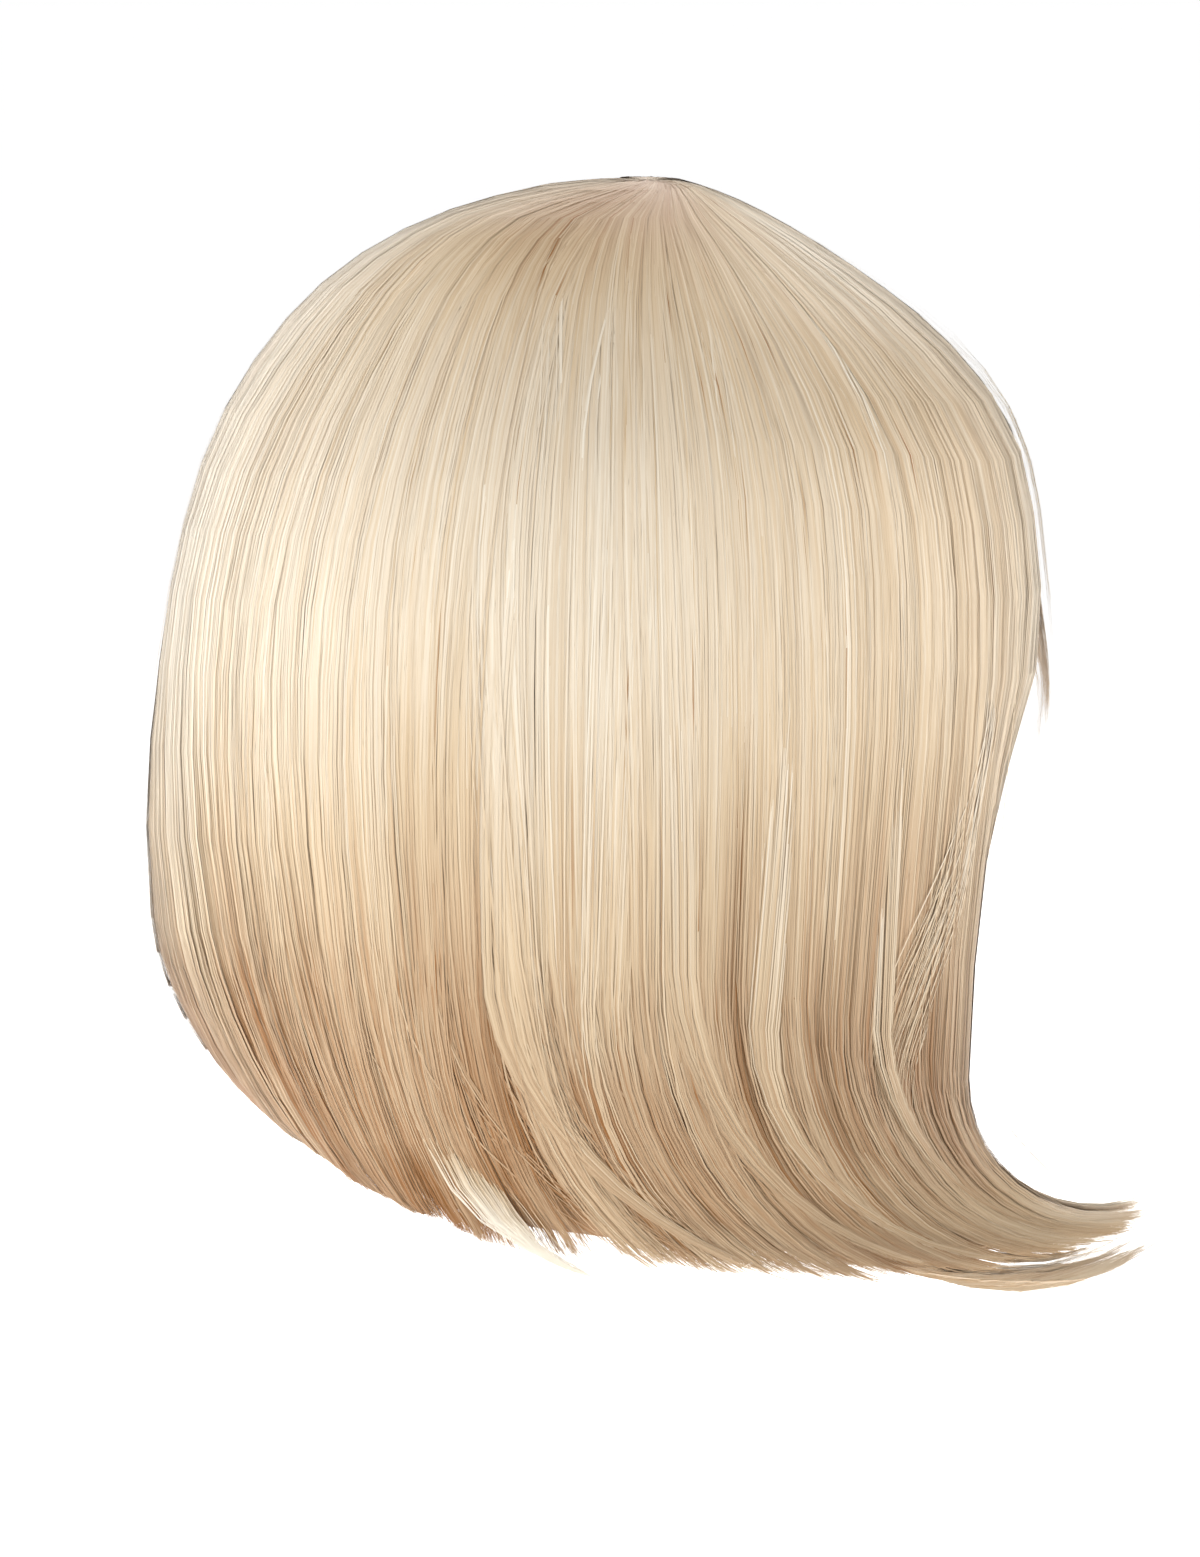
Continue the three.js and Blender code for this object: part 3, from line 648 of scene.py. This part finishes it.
# Locks that lie loose on the others. The angle drifts aside over the travels from and to, and the lock is
# lifted off and hangs lower by some millimetres. The reach is a share of the bend of the other ends.
LOOSE_LOCKS = [
    {"node": "side_right", "at": 162, "drift": 4, "from": 0.6, "to": 1.5, "lift": 1.0, "drop": 0,
     "spread": 2.4, "count": 50, "tone": 0.1, "reach": 0.9},
    {"node": "back_right", "at": 146, "drift": -5, "from": 0.5, "to": 1.4, "lift": 0.9, "drop": 0,
     "spread": 2.4, "count": 60, "tone": 0.1, "reach": 1.0},
    {"node": "back_right", "at": 128, "drift": 4, "from": 0.4, "to": 1.5, "lift": 0.8, "drop": 0,
     "spread": 2.4, "count": 60, "tone": 0.08, "reach": 0.96},
    {"node": "back_centre", "at": 112, "drift": -4, "from": 0.3, "to": 1.3, "lift": 0.8, "drop": 0,
     "spread": 2.4, "count": 60, "tone": 0.08, "reach": 0.96},
    {"node": "back_centre", "at": 88, "drift": -7, "from": 1.42, "to": 1.75, "lift": 2.6, "drop": 5,
     "spread": 3.0, "count": 210, "tone": 0.85, "reach": 0.95},
    {"node": "fringe", "at": 226, "drift": -3, "from": 0.5, "to": 1.0, "lift": 3.5, "drop": 0,
     "spread": 1.6, "count": 16, "tone": 0.2, "reach": 0.3},
    {"node": "fringe", "at": 219, "drift": -2, "from": 0.5, "to": 1.1, "lift": 2.5, "drop": 0,
     "spread": 1.5, "count": 26, "tone": 0.15, "reach": 1.05},
    # The locks on the lower flip are painted lighter, as painted light that lifts the shade under the upper
    # flip.
    {"node": "flip_lower", "at": 176, "drift": 0, "from": 1.1, "to": 1.9, "lift": 4.0, "drop": 0,
     "spread": 14, "count": 220, "tone": 0.3, "reach": 0.92},
    {"node": "flip_lower", "at": 184, "drift": 0, "from": 1.0, "to": 1.9, "lift": 8.0, "drop": 0,
     "spread": 10, "count": 160, "tone": 0.35, "reach": 0.86},
]

# Strands that leave the front edge on the way down and cross the others towards the back, by their depth
# below the top of the hair in millimetres.
CROSSINGS = [
    {"node": "side_right", "at": 187, "to": 162, "from_depth": 105, "to_depth": 243, "width": 3.4,
     "count": 34, "tone": 0.04},
    {"node": "side_right", "at": 178, "to": 164, "from_depth": 130, "to_depth": 238, "width": 4,
     "count": 26, "tone": -0.06},
]

# Tufts that cross over the others near the crown, and end on the way down.
TUFTS = [
    {"node": "back_left", "at": 50, "drift": 7, "width": 5, "count": 60, "tone": 0.3},
    {"node": "back_left", "at": 66, "drift": 9, "width": 5, "count": 70, "tone": 0.2},
    {"node": "back_centre", "at": 88, "drift": -8, "width": 5, "count": 80, "tone": 0.08},
    {"node": "back_centre", "at": 106, "drift": 8, "width": 5, "count": 90, "tone": 0.12},
    {"node": "back_right", "at": 128, "drift": -9, "width": 6, "count": 90, "tone": 0.1},
    {"node": "back_right", "at": 147, "drift": -9, "width": 5, "count": 80, "tone": 0.04},
    {"node": "side_right", "at": 172, "drift": -9, "width": 6, "count": 80, "tone": 0.16},
    {"node": "side_left", "at": 12, "drift": 10, "width": 6, "count": 80, "tone": 0.3},
]


def travel_at(layer, angle, depth):
    """The travel at which a layer's hair has fallen to a depth."""
    start = layer["base"] + layer["span"] * read(layer["ends"], angle, "start")
    radius = layer["span"] * read(layer["ends"], angle, "radius")
    bend = np.arcsin(np.clip((depth - start) / radius, 0, 0.99))
    return np.where(depth < start, share_at(depth) / share_at(start), 1 + bend * 2 / np.pi)


def grow_crossing(panel, crossing):
    """The strands that cross a panel."""
    layer, count = panel["layer"], crossing["count"]
    steps = HANG_STEPS + CURL_STEPS + 1
    done = np.broadcast_to(np.linspace(0, 1, steps), (count, steps))
    aside = crossing["width"] * rng.normal(0, 0.6, count)[:, None]
    late = rng.normal(0, 0.05, count)[:, None]
    crossed = smooth((done - 0.25 - late) / 0.9)
    angle = crossing["at"] + aside * lerp(0.5, 1, done) + (crossing["to"] - crossing["at"]) * crossed
    length = rng.uniform(0.8, 1, count)[:, None]
    depth = lerp(crossing["from_depth"], crossing["to_depth"], done * length)
    travel = travel_at(layer, angle, depth)
    lift = lerp(-1.0, 0.6, smooth(done / 0.3)) - rng.uniform(0, 0.5, count)[:, None]
    point, normal = surface(layer, angle, travel)
    half_width = tapered(0.11, 0.22, done, start=0.7, loss=0.85)
    tone = crossing["tone"] * smooth(done / 0.3) + rng.normal(0, 0.08, count)[:, None]
    tones = np.clip(tone + tone_along(layer, travel, np.zeros_like(lift)), 0, 1)
    return point + normal * lift[..., None], normal, half_width, tones, np.ones(done.shape, bool)


def grow_tuft(panel, tuft):
    """The strands of a tuft at the crown."""
    layer, count = panel["layer"], tuft["count"]
    root = tuft["at"] + tuft["width"] * np.clip(rng.normal(0, 0.5, count), -1.2, 1.2)
    across = (root - tuft["at"]) / tuft["width"]
    first = whorl_travel(layer, root) * rng.uniform(0.3, 1.2, count)
    last = rng.uniform(0.4, 0.85, count)
    travel, used = stations(layer, root, first, last)
    done = np.clip((travel - first[:, None]) / (last - first)[:, None], 0, 1)
    angle = root[:, None] + tuft["drift"] * smooth((travel - 0.08) / 0.5)
    angle = angle + swirl(layer, root[:, None], travel)
    angle = angle + wobble(count, 0.5, 3, travel)
    lift = 0.4 + 0.5 * np.sin(np.pi * done**0.7) - 0.6 * across[:, None] ** 2 - 0.7 * done**2
    lift = lift - np.minimum(rng.exponential(0.25, count), 0.8)[:, None]
    point, normal = surface(layer, angle, travel)
    half_width = tapered(0.13, 0.28, done, start=0.6, loss=0.8)
    tone = tuft["tone"] + rng.normal(0, 0.1, count)[:, None]
    tones = np.clip(tone + tone_along(layer, travel, np.zeros_like(lift)), 0, 1)
    return point + normal * lift[..., None], normal, half_width, tones, used


def grow_loose(panel, lock):
    """The strands of a lock that lies loose on its panel."""
    layer, count = panel["layer"], lock["count"]
    root = lock["at"] + lock["spread"] * rng.uniform(-1, 1, count)
    across = (root - lock["at"]) / lock["spread"]
    first = np.full(count, 0.1 if layer["from_crown"] else 0.0)
    last = 1 + longer_cut(layer, root) * lock["reach"] * rng.uniform(0.9, 1.02, count)
    travel, used = stations(layer, root, first, last)
    done = (travel - first[:, None]) / (last - first)[:, None]
    start = lock["from"] + rng.normal(0, 0.04, count)[:, None]
    rise = smooth((travel - start) / (lock["to"] - lock["from"]))
    together = 0.4 * smooth((done - 0.5) / 0.5)
    angle = root[:, None] + lock["drift"] * rise + (lock["at"] - root)[:, None] * together
    angle = angle + wobble(count, 0.3, 2, travel)
    lift = -0.8 + (lock["lift"] + 0.8 - 0.8 * across[:, None] ** 2) * smooth(rise * 2)
    lift = lift - rng.uniform(0, 0.5, count)[:, None]
    point, normal = surface(layer, angle, travel)
    point = point + normal * lift[..., None]
    point[..., 2] -= lock["drop"] * rise
    half_width = tapered(0.15, 0.28, done, start=0.6, loss=0.8)
    tone = lock["tone"] * rise + rng.normal(0, 0.08, count)[:, None]
    tones = np.clip(tone + tone_along(layer, travel, lift), 0, 1)
    return point, normal, half_width, tones, used


def inner_side(layer, angle, travel, point, normal, to_tip):
    """The side of a panel that faces the head or neck."""
    if layer["from_crown"]:
        thickness = lerp(TIP_THICKNESS, CURTAIN_THICKNESS, smooth(to_tip / THICKNESS_FADE))
        behind = point - normal * thickness[..., None]
        on_cap = cap_point(point, CAP_WALL + CAP_CLEARANCE)
        return lerp(on_cap, behind, smooth((-point[..., 2] - cap_edge(angle)) / LEAVES_CAP)[..., None])
    full = lerp(CAP_WALL, NAPE_THICKNESS, smooth(travel))
    return point - normal * lerp(CAP_WALL, full, smooth(to_tip / THICKNESS_FADE))[..., None]


def share_per_mm(angle):
    """How fast the share of the way down grows near the middle of the whorl."""
    probe = 0.05
    near = hang(angle, np.full_like(angle, probe))
    return probe / np.linalg.norm(near - hang(angle, np.zeros_like(angle)), axis=-1)


def whorl_travel(layer, angle):
    """The travel at which a layer's hair leaves the whorl."""
    start = layer["base"] + layer["span"] * read(layer["ends"], angle, "start")
    return WHORL_RADIUS * share_per_mm(angle) / share_at(start)


def grid_quads(grid):
    """The quads between the vertices of a grid."""
    return np.stack([grid[:-1, :-1], grid[:-1, 1:], grid[1:, 1:], grid[1:, :-1]], axis=-1).reshape(-1, 4)


# A body's grid, how deep it lies under the strands in millimetres, and its reach as a share of their bend.
BODY_STEPS = 28
BODY_CELLS_PER_DEGREE = 0.9
BODY_SUNK = 2.4
BODY_REACH = 0.88
FRINGE_BODY_REACH = 0.5


def shell(panel):
    """The closed body of hair that a panel's strands lie on."""
    layer, (start, end) = panel["layer"], panel["span"]
    cells, steps = max(16, int((end - start) * BODY_CELLS_PER_DEGREE)), BODY_STEPS
    angle, x = np.meshgrid(np.linspace(start, end, cells + 1), np.linspace(0, 1, steps + 1), indexing="ij")
    first = whorl_travel(layer, angle) if layer["from_crown"] else np.zeros_like(angle)
    last = 1 + read(layer["ends"], angle, "cut") / 90 * (FRINGE_BODY_REACH if layer is FRINGE else BODY_REACH)
    travel = lerp(first, last, x)
    point, normal = surface(layer, angle, travel)
    tip, _ = surface(layer, angle, np.broadcast_to(last, travel.shape))
    to_tip = np.linalg.norm(point - tip, axis=-1)
    inner = inner_side(layer, angle, travel, point, normal, to_tip)
    sunk = np.minimum(BODY_SUNK, np.linalg.norm(point - inner, axis=-1) * 0.6)
    outer = point - normal * sunk[..., None]
    verts = np.concatenate([outer.reshape(-1, 3), inner.reshape(-1, 3)])
    index = np.arange(outer.shape[0] * outer.shape[1]).reshape(outer.shape[:2])
    other = index + index.size
    rim_outer = np.concatenate([index[:, -1], index[-1, ::-1][1:], index[::-1, 0][1:], index[0, :][1:]])
    rim_inner = rim_outer + index.size
    rim = np.stack([rim_outer[:-1], rim_inner[:-1], rim_inner[1:], rim_outer[1:]], axis=-1)
    quads = np.concatenate([grid_quads(index), grid_quads(other)[:, ::-1], rim])
    u = (angle - start) / (end - start)
    uv = np.concatenate([np.stack([u * 0.5 + half, x], -1).reshape(-1, 2) for half in (0, 0.5)])
    # The body takes the painted shade of strands that lie two millimetres deep.
    tone = np.tile(tone_along(layer, travel, np.full_like(travel, -2.0)).ravel(), 2)
    return add_mesh(panel["node"] + "_body", verts, quads, uv, np.clip(tone, 0, 1))


def whorl_body():
    """The dome under the strands at the crown."""
    cells, steps = 48, 8
    angle = np.linspace(0, 360, cells, endpoint=False)[:, None] + np.zeros(steps + 1)[None, :]
    radius = np.linspace(0.02, 1.1, steps + 1)[None, :]
    outer = hang(angle, radius * WHORL_RADIUS * share_per_mm(angle)) - np.array([0, 0, 1.6])
    uv = direction_to(angle)[..., :2] * radius[..., None] * 0.44 + 0.5
    return closed_dome("whorl_body", outer, cap_point(outer, CAP_WALL + CAP_CLEARANCE), uv, 0.5)


def closed_dome(name, outer, inner, uv, tone):
    """A thin closed dome between two grids that run round a pole and out from it."""
    cells = outer.shape[0]
    ends = [outer[:, 0].mean(axis=0), inner[:, 0].mean(axis=0)]
    verts = np.concatenate([outer.reshape(-1, 3), inner.reshape(-1, 3), ends])
    a = np.arange(outer.shape[0] * outer.shape[1]).reshape(outer.shape[:2])
    b = np.roll(a, -1, axis=0)
    c, d = a + a.size, b + a.size
    top, bottom = np.full(cells // 2, len(verts) - 2), np.full(cells // 2, len(verts) - 1)
    quads = np.concatenate(
        [
            np.stack([a[:, :-1], a[:, 1:], b[:, 1:], b[:, :-1]], -1).reshape(-1, 4),
            np.stack([d[:, :-1], d[:, 1:], c[:, 1:], c[:, :-1]], -1).reshape(-1, 4),
            np.stack([a[:, -1], c[:, -1], d[:, -1], b[:, -1]], -1),
            np.stack([top, a[::2, 0], a[1::2, 0], b[1::2, 0]], -1),
            np.stack([bottom, d[1::2, 0], c[1::2, 0], c[::2, 0]], -1),
        ]
    )
    half = uv.reshape(-1, 2) * np.array([0.5, 1])
    both = np.concatenate([half, half + np.array([0.5, 0]), [[0.25, 0.5], [0.75, 0.5]]])
    return add_mesh(name, verts, quads, both, np.full(len(verts), tone))


def cap_body():
    """The stretch cap, a thin dome that is open below."""
    cells, steps = 144, 54
    angle = np.linspace(0, 360, cells, endpoint=False)[:, None] + np.zeros(steps + 1)[None, :]
    edge = cap_edge(angle)
    climb = np.arccos(np.maximum(0, 1 - edge / HEAD_RISE))
    way = (HEAD_RISE * climb + np.maximum(0, edge - HEAD_RISE)) * np.linspace(0.004, 1, steps + 1)[None, :]
    turn = np.minimum(way / HEAD_RISE, climb)
    reach = oval_reach(angle, HEAD_HALF_WIDTH, HEAD_HALF_WIDTH, HEAD_HALF_LENGTH, HEAD_HALF_LENGTH)
    towards = direction_to(angle) * np.where(turn < climb, reach * np.sin(turn), 1)[..., None]
    below = HEAD_RISE * climb - HEAD_RISE - way
    towards[..., 2] = np.where(turn < climb, HEAD_RISE * (np.cos(turn) - 1), below)
    outer, inner = cap_point(towards, CAP_WALL), cap_point(towards, 0.0)
    uv = direction_to(angle)[..., :2] * (np.linspace(0, 0.49, steps + 1)[None, :, None]) + 0.5
    return closed_dome("cap_cloth", outer, inner, uv, 0.5)


def linear_level(level):
    """An 8-bit screen level as the linear level that shaders take."""
    level /= 255
    return level / 12.92 if level <= 0.04045 else ((level + 0.055) / 1.055) ** 2.4


def linear(red, green, blue):
    return (linear_level(red), linear_level(green), linear_level(blue), 1.0)


def set_inputs(node, values):
    for name, value in values.items():
        node.inputs[name].default_value = value


def hair_material(name, dark, middle, light):
    """Glossy fibre: three tones mixed by each strand's tone, which holds its own tone and the painted light
    and shade along it, and streaks along it.
    """
    material = bpy.data.materials.new(name)
    material.use_nodes = True
    nodes, links = material.node_tree.nodes, material.node_tree.links
    shader = nodes["Principled BSDF"]
    tone = nodes.new("ShaderNodeAttribute")
    tone.attribute_name = "tone"
    place = nodes.new("ShaderNodeUVMap")
    place.uv_map = "OFBake"
    stretch = nodes.new("ShaderNodeMapping")
    stretch.inputs["Scale"].default_value = (700, 60, 1)
    links.new(place.outputs["UV"], stretch.inputs["Vector"])
    streak = nodes.new("ShaderNodeTexNoise")
    set_inputs(streak, {"Scale": 1.0, "Detail": 3.0})
    links.new(stretch.outputs["Vector"], streak.inputs["Vector"])
    shift = nodes.new("ShaderNodeMath")
    shift.operation = "MULTIPLY_ADD"
    shift.inputs[1].default_value = 0.24
    shift.inputs[2].default_value = -0.12
    links.new(streak.outputs["Fac"], shift.inputs[0])
    total = nodes.new("ShaderNodeMath")
    total.operation = "ADD"
    total.use_clamp = True
    links.new(tone.outputs["Fac"], total.inputs[0])
    links.new(shift.outputs["Value"], total.inputs[1])
    ramp = nodes.new("ShaderNodeValToRGB")
    ramp.color_ramp.elements[0].color = linear(*dark)
    ramp.color_ramp.elements[1].color = linear(*light)
    between = ramp.color_ramp.elements.new(0.5)
    between.color = linear(*middle)
    links.new(total.outputs["Value"], ramp.inputs["Fac"])
    links.new(ramp.outputs["Color"], shader.inputs["Base Color"])
    tangent = nodes.new("ShaderNodeTangent")
    tangent.direction_type = "UV_MAP"
    tangent.uv_map = "OFBake"
    links.new(tangent.outputs["Tangent"], shader.inputs["Tangent"])
    set_inputs(shader, {"Roughness": 0.42, "Anisotropic": 0.6})
    set_inputs(shader, {"Specular IOR Level": 0.25, "Sheen Weight": 0.05})
    return material


def cloth_material():
    """Plain beige stretch cloth with a fine knit."""
    material = bpy.data.materials.new("cap_net")
    material.use_nodes = True
    nodes, links = material.node_tree.nodes, material.node_tree.links
    shader = nodes["Principled BSDF"]
    place = nodes.new("ShaderNodeTexCoord")
    knit = nodes.new("ShaderNodeTexVoronoi")
    knit.inputs["Scale"].default_value = 900
    links.new(place.outputs["Object"], knit.inputs["Vector"])
    ramp = nodes.new("ShaderNodeValToRGB")
    ramp.color_ramp.elements[0].color = linear(222, 202, 176)
    ramp.color_ramp.elements[1].color = linear(196, 172, 142)
    links.new(knit.outputs["Distance"], ramp.inputs["Fac"])
    links.new(ramp.outputs["Color"], shader.inputs["Base Color"])
    bump = nodes.new("ShaderNodeBump")
    set_inputs(bump, {"Strength": 0.25, "Distance": 0.0004})
    bump.invert = True
    links.new(knit.outputs["Distance"], bump.inputs["Height"])
    links.new(bump.outputs["Normal"], shader.inputs["Normal"])
    shader.inputs["Roughness"].default_value = 0.9
    return material


def finish_piece(piece, material, slot, *nodes):
    piece.data.materials.append(material)
    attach(piece, "root")
    if nodes:
        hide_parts(*nodes)


# Each hair's three tones, dark, middle and light, as 8-bit screen colours. Painted shade takes the hair
# towards the more orange dark tone, and the painted sheen towards the light one.
HAIR_TONES = {
    "hair": [(145, 97, 49), (206, 184, 153), (234, 227, 213)],
    "hair_fringe": [(138, 98, 62), (206, 185, 157), (235, 227, 213)],
    "hair_under": [(134, 94, 58), (204, 181, 151), (234, 225, 210)],
}
MATERIALS = {name: hair_material(name, *tones) for name, tones in HAIR_TONES.items()}


def add_panel(panel):
    slot = SLOTS.get(panel["node"], "hair")
    grown = [grow(panel), grow(panel, inside=True)]
    if "edge" in panel:
        grown.append(grow_edge(panel))
    grown += [grow_loose(panel, lock) for lock in LOOSE_LOCKS if lock["node"] == panel["node"]]
    grown += [grow_tuft(panel, tuft) for tuft in TUFTS if tuft["node"] == panel["node"]]
    grown += [grow_crossing(panel, crossing) for crossing in CROSSINGS if crossing["node"] == panel["node"]]
    together = [np.concatenate(part) for part in zip(*grown)]
    finish_piece(strand_mesh(panel["node"] + "_strands", *together), MATERIALS[slot], slot, panel["node"])
    finish_piece(shell(panel), MATERIALS[slot], slot)


for panel in PANELS:
    add_panel(panel)
finish_piece(whorl_body(), MATERIALS["hair_under"], "hair_under", "crown_whorl")
finish_piece(cap_body(), cloth_material(), "cap_net", "cap")


FLOOR_SIZE = 60
FLOOR_HEIGHT = -0.42
AIM = Vector((0, 0, -0.13))

# The camera: its direction and distance from the aim, its lens and sensor in millimetres, and how far it
# stands off the aim to the left and down, in metres, so that the frame is the photograph's.
CAMERA = {
    "azimuth": 213,
    "elevation": 7,
    "distance": 2.2,
    "lens": 198,
    "sensor": 36,
    "left": 0.0051,
    "down": 0.0111,
}

# The lights: their direction, distance and side in metres, and their power in watts.
LIGHTS = [
    {"name": "key", "azimuth": 186, "elevation": 19, "distance": 2.2, "size": 1.6, "power": 20,
     "colour": (1, 0.98, 0.94)},
    {"name": "left_fill", "azimuth": 118, "elevation": 10, "distance": 2.0, "size": 1.4, "power": 16,
     "colour": (0.95, 0.98, 1)},
    {"name": "left_rim", "azimuth": 62, "elevation": 16, "distance": 1.8, "size": 1.3, "power": 10,
     "colour": (1, 0.99, 0.97)},
    {"name": "right_rim", "azimuth": 312, "elevation": 12, "distance": 1.8, "size": 1.3, "power": 15,
     "colour": (1, 0.98, 0.95)},
    {"name": "behind", "azimuth": 22, "elevation": 44, "distance": 2.2, "size": 1.6, "power": 23,
     "colour": (1, 0.97, 0.92)},
]


def add_floor():
    bpy.ops.mesh.primitive_plane_add(size=FLOOR_SIZE, location=(0, 0, FLOOR_HEIGHT))
    floor = bpy.context.object
    floor.name = "floor"
    pale = bpy.data.materials.new("pale_floor")
    pale.use_nodes = True
    shader = pale.node_tree.nodes["Principled BSDF"]
    set_inputs(shader, {"Base Color": (0.93, 0.93, 0.93, 1), "Emission Color": (1, 1, 1, 1)})
    set_inputs(shader, {"Roughness": 0.9, "Specular IOR Level": 0.1, "Emission Strength": 0.54})
    floor.data.materials.append(pale)


def add_world():
    """A white studio that is brighter near the horizon than overhead."""
    world = bpy.data.worlds.new("studio")
    bpy.context.scene.world = world
    world.use_nodes = True
    nodes, links = world.node_tree.nodes, world.node_tree.links
    direction = nodes.new("ShaderNodeTexCoord")
    parts = nodes.new("ShaderNodeSeparateXYZ")
    height = nodes.new("ShaderNodeMapRange")
    set_inputs(height, {"From Min": 0.0, "From Max": 0.7, "To Min": 0.95, "To Max": 0.4})
    links.new(direction.outputs["Generated"], parts.inputs["Vector"])
    links.new(parts.outputs["Z"], height.inputs["Value"])
    links.new(height.outputs["Result"], nodes["Background"].inputs["Strength"])
    set_inputs(nodes["Background"], {"Color": (1, 1, 1, 1)})


def back_towards(place):
    """The direction from the aim back to a camera or light."""
    a, e = math.radians(place["azimuth"]), math.radians(place["elevation"])
    return Vector((math.sin(a) * math.cos(e), -math.cos(a) * math.cos(e), math.sin(e)))


def add_light(light):
    data = bpy.data.lights.new(light["name"], "AREA")
    data.color = light["colour"]
    data.shape = "SQUARE"
    data.size = light["size"]
    data.energy = light["power"]
    lamp = bpy.data.objects.new(light["name"], data)
    back = back_towards(light)
    lamp.location = AIM + back * light["distance"]
    lamp.rotation_euler = back.to_track_quat("Z", "Y").to_euler()
    bpy.context.scene.collection.objects.link(lamp)


def add_camera():
    data = bpy.data.cameras.new("camera")
    data.sensor_width = CAMERA["sensor"]
    data.lens = CAMERA["lens"]
    back = back_towards(CAMERA)
    right = Vector((0, 0, 1)).cross(back).normalized()
    up = back.cross(right)
    camera = bpy.data.objects.new("camera", data)
    camera.location = AIM - right * CAMERA["left"] - up * CAMERA["down"] + back * CAMERA["distance"]
    camera.rotation_euler = back.to_track_quat("Z", "Y").to_euler()
    bpy.context.scene.collection.objects.link(camera)
    bpy.context.scene.camera = camera


add_camera()
add_floor()
add_world()
for light in LIGHTS:
    add_light(light)
bpy.context.scene.view_settings.view_transform = "Standard"
